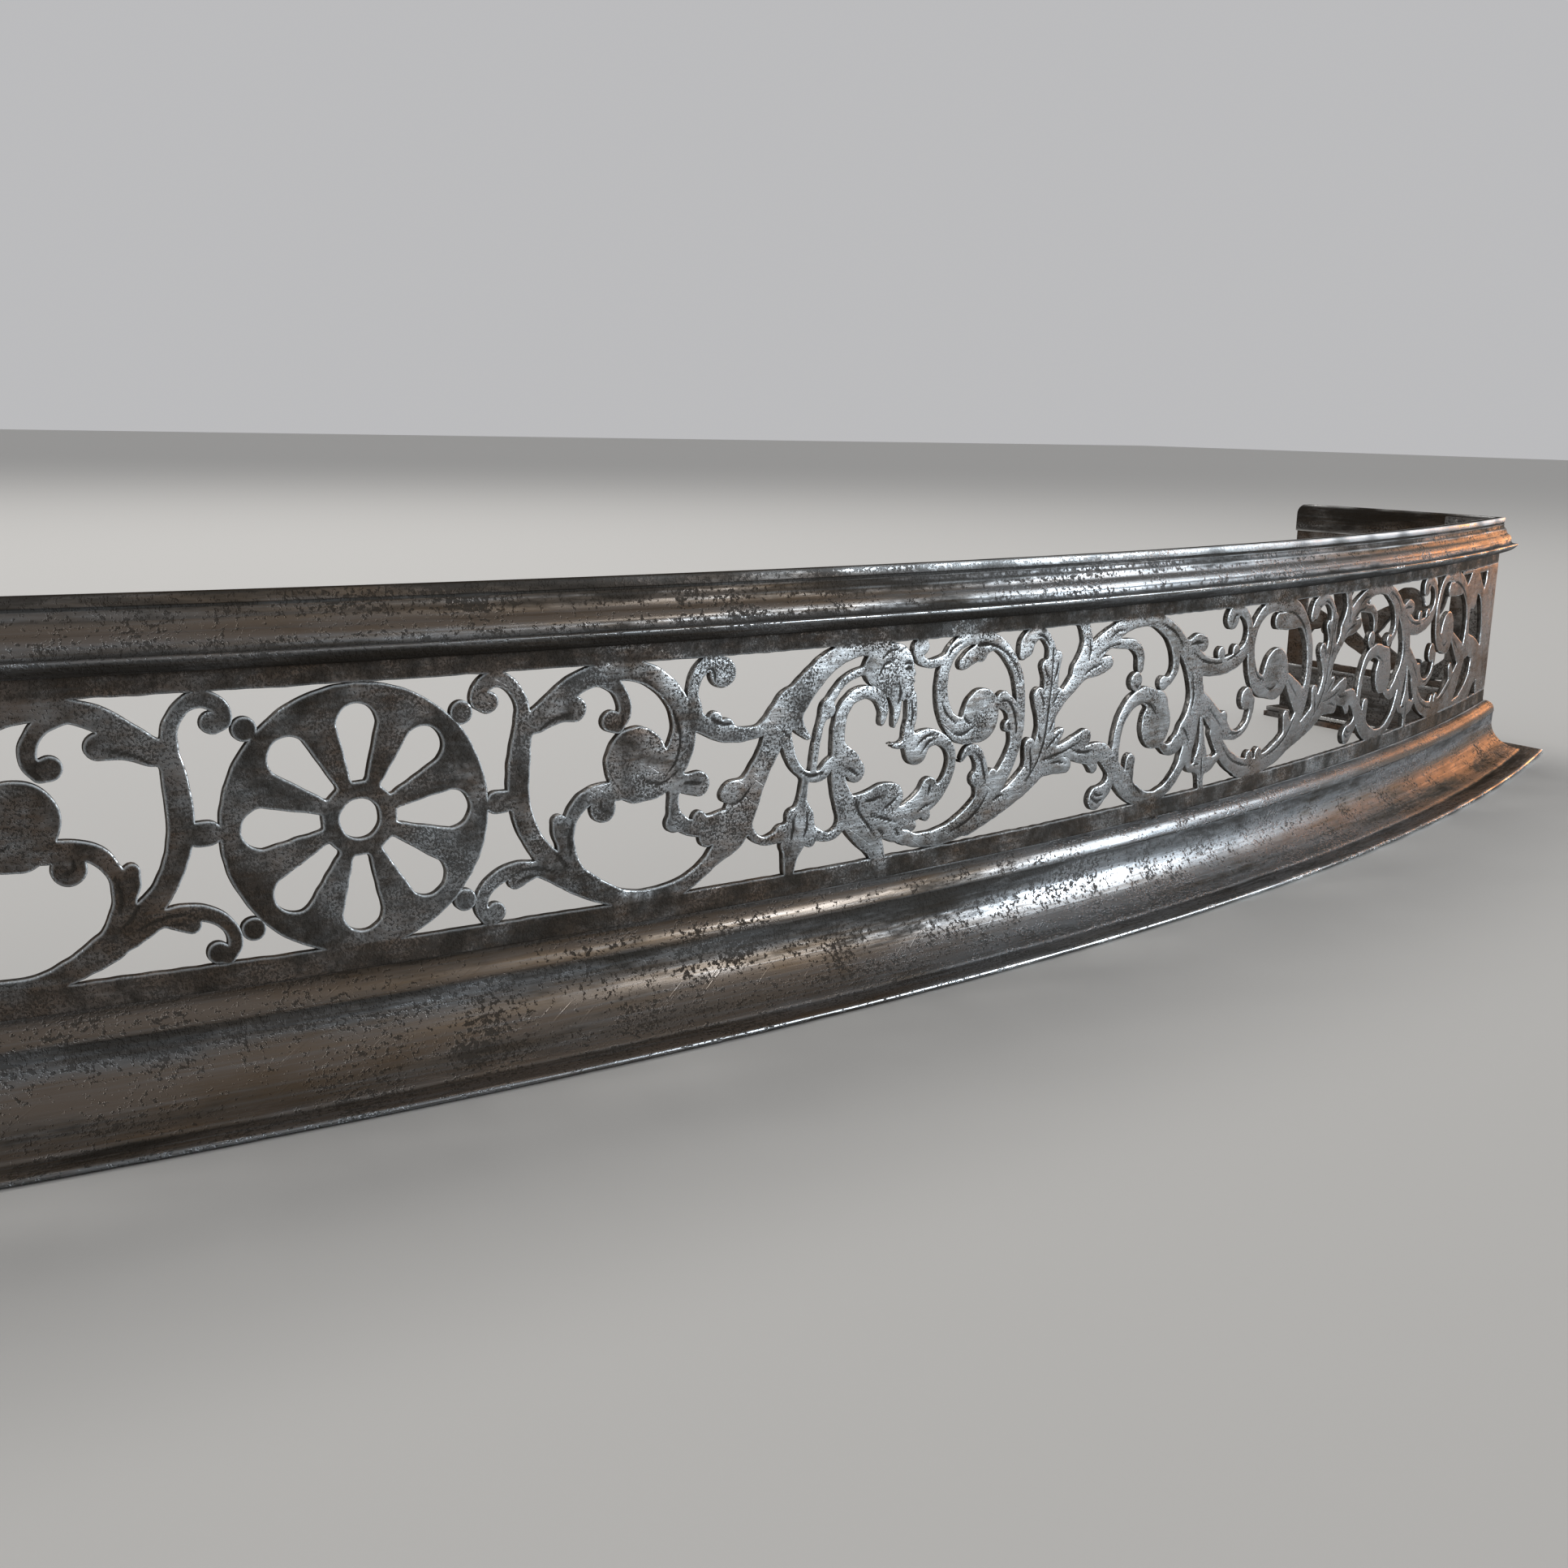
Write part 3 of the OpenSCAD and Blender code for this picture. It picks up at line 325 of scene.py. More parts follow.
def steelMaterial(name, look):
    # base metal mixed by masks: dull clouds, brown patina, soot that also paints shade, black pits, bright worn
    # edges that also paint a highlight; the more patina and soot, the less metallic and the rougher
    mat, tree, shader = startMaterial(name)
    share = steelShare
    place = node(tree, "Attribute", attribute_name="along").outputs["Vector"]
    worn, brownness, sootAndShadeAmount = (node(tree, "Attribute", attribute_name=k).outputs["Fac"]
                                  for k in ("worn", "brown", "soot"))
    stain = scaled(tree, place, (look["stretch"], 1, 1))  # stains run along the mouldings
    brownCover = plus(tree, brownness, look["brownCover"])
    pitCover = plus(tree, times(tree, sootAndShadeAmount, share["pitFromSoot"]), look["pitCover"])
    covers = {"dull": look["dullCover"], "brown": brownCover, "soot": sootAndShadeAmount}
    dull, brown, soot = (useGroup(tree, patina, Place=stain, Cover=covers[key], **steelClouds[key])["Mask"]
                         for key in ("dull", "brown", "soot"))
    marks = useGroup(tree, scratches, Place=place, Along=look["along"], Across=look["across"])
    pit = useGroup(tree, pits, Place=place, Size=look["pitSize"], Cover=pitCover)
    streak = minus(tree, marks["Streaks"], 0.5)

    dullMix = plus(tree, dull, times(tree, streak, share["streakDull"]), clamp=True)
    brownMix = times(tree, plus(tree, brown, streak, clamp=True), share["brown"])
    # soot and pits go to black; the soot mask also carries painted shade in the openings, on the margins and
    # under the lips, and a painted dark reflection about the middle
    dirtAndShade = mathNode(tree, "MAXIMUM", times(tree, soot, share["soot"]), times(tree, pit["Mask"], share["pit"]))
    # bright rubbed edges, partly real wear and partly a painted highlight along the rims
    wearAndGlintMask = times(tree, mathNode(tree, "POWER", worn, share["wornPower"]),
                  plus(tree, share["wornFrom"], marks["Streaks"], clamp=True), clamp=True)
    colour = mixColour(tree, dullMix, look["bright"], look["dull"])
    for mask, over in ((brownMix, look["brown"]), (dirtAndShade, sootAndShadeBlack), (wearAndGlintMask, rubbedAndGlintBright)):
        colour = mixColour(tree, mask, colour, over)

    rough = plus(tree, look["polish"], times(tree, dullMix, look["rough"] - look["polish"]))
    rough = plus(tree, rough, times(tree, dirtAndShade, share["dirtRough"]))
    rough = plus(tree, rough, times(tree, streak, share["streakRough"]))
    rough = minus(tree, rough, times(tree, wearAndGlintMask, share["shineSmooth"]), clamp=True)
    height = plus(tree, times(tree, pit["Height"], share["pitHeight"]),
                  times(tree, marks["Streaks"], look["grain"]))
    height = minus(tree, height, times(tree, marks["Lines"], share["lineDepth"]))
    covered = plus(tree, dirtAndShade, times(tree, brownMix, share["brownCovers"]), clamp=True)
    covered = minus(tree, covered, wearAndGlintMask, clamp=True)
    wire(tree, (minus(tree, 1.0, covered), shader.inputs["Metallic"]),  # soot and rust stay matt
         (0, shader.inputs["Specular IOR Level"]), (steelTint, shader.inputs["Specular Tint"]))
    finishMaterial(tree, shader, colour, rough, height)
    return mat


ironLook = {"grey": (0.12, 0.115, 0.11, 1), "dark": (0.05, 0.045, 0.042, 1),
            "brown": (0.14, 0.075, 0.042, 1), "pit": (0.02, 0.017, 0.015, 1), "dullCover": 0.5,
            "brownCover": 0.4, "pitCover": 0.35, "dullSize": 45.0, "brownSize": 18.0, "pitSize": 700.0,
            "soft": 0.15, "share": 0.7, "rough": 0.5, "dullRough": 0.18, "metallic": 0.85}


def ironMaterial(name, look):
    # dark forged iron: brown and black clouds over grey, fine hammered grain
    mat, tree, shader = startMaterial(name)
    place = node(tree, "TexCoord").outputs["Object"]
    dull, brown = (useGroup(tree, patina, Place=place, Size=look[key + "Size"], Cover=look[key + "Cover"],
                            Soft=look["soft"])["Mask"] for key in ("dull", "brown"))
    pit = useGroup(tree, pits, Place=place, Size=look["pitSize"], Cover=look["pitCover"])
    colour = mixColour(tree, dull, look["grey"], look["dark"])
    colour = mixColour(tree, times(tree, brown, look["share"]), colour, look["brown"])
    colour = mixColour(tree, times(tree, pit["Mask"], look["share"]), colour, look["pit"])
    rough = plus(tree, look["rough"], times(tree, dull, look["dullRough"]))
    shader.inputs["Metallic"].default_value = look["metallic"]
    finishMaterial(tree, shader, colour, rough, pit["Height"])
    return mat


friezeSteel = steelMaterial("friezeSteel", steelLook["frieze"])
mouldingSteel = steelMaterial("mouldingSteel", steelLook["moulding"])
blackIron = ironMaterial("blackIron", ironLook)
print("fender: finishes made")

# the pierced pattern: strands and round ends in millimetres (along the face, height in the
# pierced band, width), drawn for the right half and mirrored

pattern = {
    "firstScroll": {"strands": [
        [(35.5, 60.9, 3), (33.2, 62.8, 4), (34.6, 66.4, 4.6), (38.6, 68.3, 4.4), (43, 66.6, 4.2),
         (46, 62, 4), (46.8, 57, 4.4)],
        [(46.8, 57, 4.4), (45.8, 49, 6.2), (45, 41, 6.8), (45.2, 34, 6.4), (47, 27, 6), (50.3, 20.6, 6),
         (55, 15, 7), (61.5, 9.6, 8.4), (69, 4.9, 7), (78, 1.2, 5.4), (87, 0.1, 5.4), (96, 1.4, 5.4),
         (103.6, 5, 4.8), (110, 10, 5.6), (115.4, 15.2, 9)],
        [(47.5, 54, 5), (52, 57, 6), (57, 61, 6.6), (63, 65.2, 6.4), (71, 67.6, 6), (80, 68, 6.4),
         (88, 65.4, 6.6), (94, 60.4, 6.8), (97.6, 54, 7.6), (98, 47, 8.6), (94.6, 40, 10),
         (88.5, 36, 12), (82, 36, 14)],
        [(51, 56, 7), (57, 58.6, 8), (62.6, 58.2, 7)],
        [(71, 66.5, 5), (75.6, 63.6, 4.4), (78, 59.6, 4.4), (78.2, 55.6, 4.4), (76, 52.6, 4.6)],
        [(60.4, 12, 8), (59.4, 19, 5.4), (60.6, 26, 4.2), (64, 31, 4.8), (69, 33.4, 5), (76, 33.4, 6)],
        [(59.5, 18, 4), (57.6, 23, 5), (57.2, 26.4, 4.6)],
        [(58, 11, 7), (51, 13.6, 5), (44, 14.4, 4.6), (38, 12.6, 4.2), (34, 8.6, 3.8), (33.4, 4.6, 3.8),
         (35.4, 1.6, 4)],
        [(48, 12.6, 4), (43.6, 11, 4.6)],
        [(102, 55, 4.4), (101.2, 60.4, 4), (103, 65.4, 4.4), (107.2, 68.4, 4.8), (111, 67, 5)],
        [(100, 52, 5), (105, 49.6, 5), (111, 47.6, 6), (118, 46, 5), (125, 46.4, 4.2), (131, 49.4, 7),
         (136, 54, 9)],
        [(101.4, 57, 4), (103.4, 52.6, 4), (106, 50, 4)],
        [(95, 34, 6), (99.6, 32.9, 6.4), (103.4, 32.6, 7.6)],
        [(95, 31.6, 3.6), (94.8, 27.4, 3.4), (95.6, 23.4, 4.6), (99.4, 20, 5), (105, 18.6, 5.6),
         (112, 18.6, 8)],
    ], "ends": [(36.6, 62.2, 5.6), (37.6, 3, 6), (82.2, 41.4, 20.4), (73.9, 53.8, 6.4), (71.2, 28.8, 8.4),
        (111.6, 65.2, 9.4), (109, 51.4, 5), (113.4, 49, 5), (94.9, 21.6, 6), (103.6, 22, 5),
        (106.6, 15.6, 5.4)]},
    "risingStem": {"strands": [
        [(110, 10, 5.6), (115.6, 15.2, 10), (118.8, 22.6, 11.6), (123.6, 31, 8.4), (128.4, 39, 7.4),
         (132, 46, 9), (137.4, 52.6, 10), (143.4, 58.8, 8.4), (149.8, 64.2, 7.4), (157, 67.8, 6.6),
         (165, 69.4, 6), (174, 68, 7)],
        [(119, 28, 9), (115.4, 28.6, 7), (113.6, 28, 5)],
        [(112, 20, 7), (106, 20, 5)],
        [(115, 14, 7), (109.6, 15.6, 5), (106.6, 15.6, 4.4)],
        [(137.6, 51, 7), (140.6, 46, 4), (144.4, 42.4, 1.6)],
        [(134.6, 46, 5), (136.4, 39.6, 4), (139.4, 34, 3.6), (144, 30.4, 3.4), (149.4, 30.2, 4),
         (152.4, 33, 4), (155.2, 34.6, 3.2)],
        [(171, 61.4, 2.8), (164, 61.4, 2.8), (157.6, 58.8, 2.8), (152.6, 53.4, 3), (149.4, 47.4, 2.6),
         (147.4, 40, 2.6), (146.2, 32, 2.8)],
        [(143.4, 30, 3), (142.6, 25, 3), (142, 20, 4)],
        [(142.6, 20, 5.4), (141.6, 15, 11), (139.4, 10, 8.6), (138, 5.6, 6), (137.4, 1, 4.4)],
        [(141, 14.4, 8), (134.4, 13, 5), (128.4, 11.8, 3), (124.2, 13.4, 2.8), (121.6, 17, 3)],
        [(141, 14.4, 8), (147.4, 11.6, 4.6), (152.6, 9.8, 3.2), (157, 11.4, 3.4), (159.6, 15.6, 4.6)],
    ], "ends": [(151.6, 50.6, 6), (138.6, 18.4, 5), (144, 18, 4.6), (134.4, 13.6, 5), (136, 9.4, 4),
        (145.6, 9.6, 4.4)]},
    "figureLeaf": {"strands": [
        [(174, 44.4, 2.2), (174.8, 48.6, 3.6), (172, 53.4, 4.4), (166, 54.9, 4.4), (160.6, 53, 4.6),
         (157, 48, 5), (156, 41.6, 5.2), (156.2, 35, 5.4), (156.4, 28, 5.6), (158.6, 21.6, 7.4),
         (162, 15.6, 9.4), (167, 10, 10), (171.6, 5, 8), (174.4, 0, 5.6)],
        [(157, 37, 6), (160.6, 33.6, 7.6), (163.6, 29.8, 7.6)],
        [(163, 18, 8), (169, 18.8, 8), (175.6, 19.8, 9.6), (179.6, 19.4, 9.6)],
        [(167, 12, 9), (175, 12.6, 9), (183, 12.2, 8), (189.6, 14.4, 8), (194.4, 18, 8),
         (196, 20.6, 7.4)],
        [(176, 9, 6), (181.6, 7, 5.4), (185.4, 4.8, 4)],
        [(184, 11, 5), (189, 8.6, 3.6)],
        [(191, 14, 7), (198.4, 17.4, 6.4), (203.4, 21.6, 4.4), (206, 27.6, 3.8), (204.8, 33, 4),
         (200.2, 36.6, 4.6), (194.4, 37.2, 6.6), (189, 35, 9)],
        [(171.8, 62.2, 12), (176, 61, 13)],
    ], "ends": [(180, 7, 4.4), (189.6, 33.6, 9.6), (195, 11.4, 4)]},
    "beard": {"strands": [
        [(186.6, 52, 4.4), (187, 46, 4.6), (185.8, 40, 4.6), (187, 36, 6)],
        [(179.4, 53, 5), (180.4, 48, 3.6), (179.4, 43, 1.8)],
        [(187, 38.6, 3.4), (182, 36.2, 2.4), (176.6, 37.6, 1.2)],
    ], "ends": [(178.6, 61, 16.8)]},
    "smallCurl": {"strands": [
        [(200.4, 62.8, 3.6), (194.4, 61.9, 3.2), (190, 63.6, 3.6), (188.6, 67.2, 4), (190.4, 69.4, 4)],
    ], "ends": [(191, 67.6, 5.4)]},
    "runningScroll": {"strands": [
        [(218, 40, 12), (210.4, 38.4, 9.4), (204.2, 42, 6.6), (201, 48, 5.6), (200.2, 55, 5),
         (202, 62, 5), (206.8, 67.2, 4.8), (214, 69.4, 5), (223, 67.9, 5), (231, 63, 5),
         (236.8, 55, 4.8), (238.9, 46, 4.6), (238.6, 36, 5), (235.4, 27, 6), (229.6, 19, 7),
         (221.6, 11.6, 9), (212, 5.8, 8), (201, 3.2, 6), (191, 3.4, 5), (186, 5, 5)],
        [(226, 66.4, 3), (219.4, 65.2, 5), (213, 62.6, 5.4), (209.4, 60.6, 4)],
        [(237, 30, 4), (236, 37, 5), (234.4, 43.6, 6), (230.4, 46.8, 5.6)],
        [(223, 12, 8), (221.4, 19, 7.4), (220.4, 26, 5.4), (217.4, 30.6, 4.4), (213.4, 31, 3),
         (210.6, 28, 1.4)],
        [(226, 16, 5), (226, 21.6, 4.4)],
    ], "ends": [(219.2, 43.4, 17), (219, 42, 17), (218.4, 63, 4.4), (233, 37.6, 4.6), (229.4, 46.8, 5.8),
        (218.4, 21, 5.6)]},
    "plume": {"strands": [
        [(215, 4, 5), (225, 8.6, 7.4), (235, 12.8, 8), (243.4, 17.4, 9.4), (249.4, 23, 11),
         (252.4, 30, 10), (253.4, 39, 9), (254.4, 48, 8), (255, 56, 6.4), (253.8, 63, 4.2),
         (250, 67.6, 4), (245, 68.4, 5.4), (241, 65.6, 7), (239, 61.8, 4)],
        [(245.6, 23, 6), (244.6, 29.4, 5.6)],
        [(252, 38, 7), (248.4, 46.6, 6.4)],
        [(254, 51, 5), (251.4, 56.8, 5)],
        [(255, 53, 5), (257.4, 59.4, 5)],
        [(254.6, 40, 6), (258.6, 46, 5.6)],
        [(253, 26, 6), (258.6, 30.6, 5), (262, 33, 2.6)],
        [(250, 21.6, 8), (257, 21, 7), (265, 20.2, 5.8)],
        [(254, 24.6, 6), (262, 25.6, 5.4), (270, 27.4, 6.6), (275.4, 29, 6.6)],
        [(266, 24.4, 4), (273, 22.8, 6), (280, 22.6, 7.6), (286.6, 22.4, 7), (291, 18.6, 4.8),
         (292.4, 13, 4.8), (290, 8.6, 5.4), (284.6, 5.8, 7.6)],
        [(279, 21, 6), (281, 17.4, 4.6)],
    ], "ends": [(283.4, 5.4, 8.6), (241, 63.6, 6)]},
    "facingPair": {"strands": [
        [(256, 40, 5), (262, 45.4, 4.8), (268, 50.4, 6.4), (273, 56.4, 9), (274, 63, 5.6),
         (272.6, 68, 5), (271, 71, 5)],
        [(270, 54, 8), (279, 60, 8.4), (288, 65, 7), (297, 68.2, 5.4), (306, 69.4, 5), (315, 68.6, 5.4),
         (323, 65.4, 6.4), (330, 60.6, 7.4), (336.4, 54.6, 7.2), (341.2, 47, 6.6), (343.6, 39, 6.2),
         (342.8, 31.6, 7), (339, 25.4, 7.4), (333, 19.6, 6.6), (327, 18.6, 4.4), (322, 21.6, 3.4)],
        [(274, 54, 7), (281, 54.2, 6.6), (286.6, 55.4, 5.4)],
        [(286, 63, 5), (294, 61.6, 4), (301, 60.6, 4.4), (305.6, 57, 4.6), (306.2, 51.6, 4)],
        [(317, 68, 5), (324.4, 62.4, 4.6), (328.6, 56, 4.6), (329.4, 49.6, 4.2), (326.4, 45.8, 3.6),
         (323, 44.6, 4)],
        [(286.6, 20.6, 5), (294, 14.6, 7.4), (300, 8.8, 8.6), (307, 3.8, 7.6), (315, 1.2, 5.4),
         (323, 1.4, 4.8), (331, 4.8, 5), (336.6, 10, 5.2), (340.4, 16, 7), (343, 22, 8), (345, 29, 6.6),
         (347, 36, 5.4), (347, 44, 4)],
        [(293.6, 17, 5), (294, 25, 4.6), (296.4, 33, 5), (302, 39, 5.6), (310, 41, 6.6), (317, 38, 9)],
        [(303, 10, 6), (303.6, 17, 6)],
        [(341, 24, 7), (337.6, 26, 5)],
    ], "ends": [(304, 46.8, 7.6), (321.8, 44.6, 5.6), (318.6, 29.4, 19), (332, 21, 4), (320, 36, 12)]},
    "husk": {"strands": [
        [(347.6, 40, 5), (349.4, 32, 2), (350.8, 24, 3), (351.6, 17, 5), (352, 11, 9), (352.6, 5, 4.6),
         (353, 0, 4)],
        [(341.6, 16, 6), (343.6, 9.6, 3.6), (350, 9, 5), (357, 8.6, 6), (363, 10.6, 3.6),
         (366, 13, 3.6)],
        [(345, 38, 6), (351, 34, 8), (358, 28.4, 9), (365.4, 23, 9), (372, 19.4, 5), (379, 18.6, 3.6),
         (385, 21.4, 3.2), (388, 26.6, 3.6), (388, 31, 5)],
        [(360, 22, 6), (366, 14.6, 7), (373, 8.6, 7.4), (382, 4.6, 7.6), (391, 2.6, 7.6)],
    ], "ends": [(346, 45.5, 4), (383.8, 32.6, 9.4), (349, 11.6, 4.6), (357.6, 9.8, 5.4), (366.6, 26.4, 6)]},
    "crestLeaf": {"strands": [
        [(336, 57, 6), (343, 52, 8.6), (351, 48.4, 7.6), (361, 47.4, 7), (371, 48.6, 6.6),
         (378, 51.4, 6), (381.6, 56, 4.4), (382.2, 61, 4.2), (379.4, 65.8, 4.4), (374, 68.6, 4.6),
         (369, 67.6, 5)],
        [(339, 57, 6), (344, 58.6, 6.6), (348, 57.6, 6.4)],
    ], "ends": [(361.4, 52.6, 5.6), (372.4, 52.8, 5.4), (368.4, 66, 9.2)]},
    "boldScroll": {"strands": [
        [(406, 38, 15), (396, 36.4, 9.4), (389, 40, 7.6), (385.4, 46.4, 6.4), (384.4, 54, 5.4),
         (387, 61.4, 5.2), (392.6, 66.6, 5), (401, 69, 5.4), (412, 68.6, 6.6), (422, 65.2, 7.6),
         (430.6, 58.4, 6.2), (435.8, 49.6, 5.4), (437, 40, 5), (435.6, 31, 6), (432, 23, 7),
         (426, 15.6, 8.6), (417, 9, 9.4), (405, 4.8, 8), (393, 3.2, 7.6), (381, 4.4, 7.4)],
        [(424, 62, 8), (415, 61.8, 7.6), (405.8, 62.2, 7)],
        [(430, 27, 12), (424, 32, 9), (416.6, 38.4, 4.4)],
        [(421.4, 15, 8), (418.8, 21.4, 5)],
    ], "ends": [(406.8, 40.4, 21.6), (389.6, 7.8, 6), (397, 8, 6)]},
    "beads": {"strands": [], "ends": [(28.6, 60, 6.4), (28.6, 8, 6.4), (38.2, 34.2, 6.4), (40.8, 34.2, 6.4)]},
    "head": {"strands": [], "ends": [(178.6, 61, 16.8)]},
    "sideLeaf": {"strands": [[(14, 60, 8), (22, 56, 6), (30, 55, 5)], [(12, 22, 10), (20, 12, 9), (30, 5, 7)]],
                 "ends": []}}

# where the running pattern, the last bold scroll and the return's leaves stand: drawn place, real place
placing = {
    "repeat": [(186, 372), (198, 383.5), (218, 406.5), (241, 439.5), (254, 457), (272, 471), (294, 493),
               (304, 502), (318, 520), (350, 554), (368, 572), (382, 588), (391, 598)],
    "lastBold": [(378, 584), (381.6, 590.4), (385.4, 595), (396, 603.6), (418, 625.4), (434.4, 650.6),
                 (439.6, 657)],
    "sideBold": [(375, 22), (440, 87)], "sidePlume": [(215, 63), (254, 103), (272, 118), (295, 138)]}
cornerPlate = {
    "outline": [(632, 70), (720, 70), (720, 0), (600, 0), (612, 4), (640, 12), (648, 24), (652, 40),
                (652, 54), (646, 60), (638, 65)],
    "openings": [
        [(636, 68), (645, 62), (649, 64.4), (653, 68)],
        [(671, 67), (679, 61.4), (686, 57.6), (689, 61), (690, 67)],
        [(657.6, 49), (665, 48.4), (669, 50.6), (671, 56), (677, 54.6), (682.6, 50), (687, 42), (690, 34),
         (690, 27), (681, 30.4), (671, 33.4), (659, 36), (657, 42)],
        [(655, 23), (663, 23.6), (671, 21.6), (669, 14), (662, 9), (650, 4), (638, 3), (646, 11)],
        [(673, 0), (682, 6.4), (690, 8), (692, 0)]]}
headProfile = [(179, 69), (184, 66.4), (186.4, 62.6), (188.8, 59.2), (187.4, 58.2), (188.2, 56.8),
               (187.2, 55.8), (188, 54.8), (187, 52.6), (183, 50.6), (176, 53)]
rosetteShape = {"middle": 34.02, "diameter": 72.0, "hub": 10.6, "petalEnd": 10.6, "petalReach": 25.2,
                "petalFoot": 4.6, "footReach": 11.6, "footDepth": 1.6, "petals": 8}
# cut lines of the leaves, where the leaves are drawn; the head's are a plain eye, brow and locks
engraving = {
    "firstScroll": [
        [(84, 65), (90, 60.4), (94.6, 54), (96.6, 47), (95, 40), (91, 36)],
        [(82.6, 37.4), (86, 35), (91, 34.4), (96, 37.4)], [(50, 52), (55, 55.6), (62, 57.4)],
        [(40.6, 12), (46, 14.2), (52, 13.6), (57, 11.4)], [(43.4, 10.6), (47, 12), (51, 12)],
        [(53.6, 21.6), (56, 18), (58.4, 14.4), (60.4, 12.6)], [(60.8, 16), (60, 21), (61.4, 26)],
        [(105.4, 66.8), (108, 66), (108.8, 62.8)], [(107, 52), (110.6, 50.2), (115, 49.4)],
        [(76, 51.6), (77.6, 53.4), (77, 56)], [(70, 31.4), (70.6, 28.6), (73, 28.2)],
        [(98, 33.6), (102, 33), (105, 32.4)]],
    "risingStem": [
        [(133.4, 47), (136, 43.8), (140, 43.4), (143, 42.6)], [(139, 19), (138.6, 15), (137.8, 11)],
        [(144, 18.6), (144, 14.6), (142.6, 11)], [(114, 24.6), (118.6, 26), (122.6, 30.4)],
        [(141, 32.4), (145, 30.6), (150, 31)]],
    "figureLeaf": [
        [(160, 31.4), (162.4, 29.8), (164.6, 28.4)], [(168, 19.6), (171, 19.8), (174, 20.4)],
        [(176, 16.2), (179, 17.8), (181.8, 19.6)], [(195.6, 18), (195.8, 20), (196, 21.8)],
        [(171, 14.4), (174.6, 13.4), (178, 12.2), (181, 11.2)], [(181, 9), (182, 7.4), (183, 6)],
        [(173.4, 9.6), (175, 8.4), (176.2, 7.4)], [(188.6, 34.6), (192, 37.4), (196, 38.6), (199.4, 38.2)],
        [(191.6, 32.8), (194.6, 36), (198, 37)], [(190.6, 12.8), (194, 14.6), (198, 15.4)],
        [(163, 22), (165, 16.6), (169, 11.6), (172.6, 7)]],
    "head": [
        [(183.2, 60.8), (184.6, 61.4), (186, 60.8)], [(182.6, 62.6), (184.6, 63.2), (186.4, 62.6)],
        [(186.2, 56.4), (187.8, 56.4)], [(173, 65), (177, 67.6), (181.4, 67)],
        [(172, 60), (174.4, 63.4), (178.6, 64.6)], [(180.6, 57), (181.4, 53.6), (180.6, 50)],
        [(184, 53), (185, 48.6), (184.8, 43.6)], [(186.4, 50.6), (187, 46), (186.2, 40.6)]],
    "runningScroll": [
        [(209, 62.6), (213, 65.4), (218, 66.8), (224, 66), (230, 63.2), (235, 58.4), (238, 52.6)],
        [(200, 49), (202.6, 44.6), (207.4, 41)], [(205, 38.4), (209, 37.2), (213, 38), (216, 39.6)],
        [(210.4, 43.6), (212.2, 41.4), (214.6, 40.2)],
        [(229, 46.6), (232.4, 46.2), (235, 43), (236.6, 38.6), (237.2, 34.6)],
        [(232.6, 39.4), (233.4, 37.4), (234, 35)],
        [(216.6, 30.8), (219.8, 27.4), (221.6, 22.6), (222.6, 18.8)],
        [(224, 15.6), (220, 10.6), (213.6, 6.6), (207, 4.6)], [(226.4, 12), (229, 13.4), (232.4, 14)],
        [(202, 63.6), (204.6, 66.4), (209, 68.2)]],
    "plume": [
        [(243, 17), (247.6, 21.8), (250.6, 27), (252.4, 33), (253.4, 41),
         (254.2, 49), (254.6, 57), (254.4, 62.6)], [(251, 42.6), (250, 45.6), (247.8, 48.6)],
        [(252.6, 51.6), (251.6, 54.4), (250, 57)], [(255.6, 42.6), (256.8, 44.8), (258.8, 47.4)],
        [(256, 52), (257, 54.6), (257.6, 57.6)], [(254.4, 33.6), (256.6, 36.6), (259, 39.8)],
        [(253, 27), (257, 30), (261, 32.6)], [(250.4, 30), (248.6, 33), (246.4, 34)],
        [(250.6, 23.6), (257, 24.4), (264, 25.6), (271, 27.6)],
        [(255.6, 21.8), (260.6, 21.9), (265.4, 20.6)], [(268, 25.4), (273, 23.9), (279, 23.6)],
        [(245.6, 19), (245.4, 24), (244.6, 28.6)], [(241.6, 66.6), (244.6, 65), (245.6, 61.8)],
        [(245.6, 68.2), (249.4, 67), (252.4, 63.8)], [(280.4, 6.4), (283.4, 4.4), (287, 4.6)],
        [(281.6, 8.4), (284, 6.6), (287.6, 6.6)]],
    "facingPair": [
        [(272, 51.6), (276, 53.8), (283, 55.6)], [(279.6, 58), (285.6, 60.6), (292.6, 61.8)],
        [(274.6, 56.6), (275.2, 60.6), (274.4, 65)], [(286.4, 64), (291, 66.4), (296.4, 66.6)],
        [(303, 36.2), (308, 38.2), (314, 37), (317.6, 33.4)], [(304, 11.6), (307, 7.6), (311, 4)],
        [(318, 67.2), (324, 65), (329, 62), (333, 57.6)], [(296.6, 26), (297.6, 32), (301, 36.6)],
        [(341, 46), (342.8, 38), (341.4, 30.6)], [(302.6, 46), (304.6, 44.6), (306.6, 45.8)],
        [(341.6, 20), (339, 24), (336.4, 26)]],
    "husk": [
        [(354.6, 31.6), (360.4, 27), (366.6, 21.4)], [(352, 12.6), (352.4, 8), (352.8, 4)],
        [(343.6, 12.6), (346, 10.6), (350, 10)], [(366.4, 15.6), (374, 9), (383, 5.6), (391, 4)],
        [(372, 19.6), (378, 19.2), (384, 21.6)]],
    "crestLeaf": [
        [(338.6, 58), (343, 58.4), (347.6, 57.8)], [(341, 54.6), (347, 51.4), (354, 49.6), (362, 49)],
        [(366, 49.6), (372, 51.4), (377, 53.4)], [(372, 67.4), (369, 66.4), (368, 63.4)]],
    "boldScroll": [
        [(408, 65.4), (416, 65.2), (424, 61.8), (430, 56.4), (433.6, 49)],
        [(388, 46.4), (391, 41), (396.6, 38.6)], [(427.6, 28), (423, 32.4), (418, 36.4)],
        [(426, 19.6), (420, 13), (411, 8.4), (400, 5.8)], [(398, 36), (402.6, 34.4), (407.4, 36)]]}
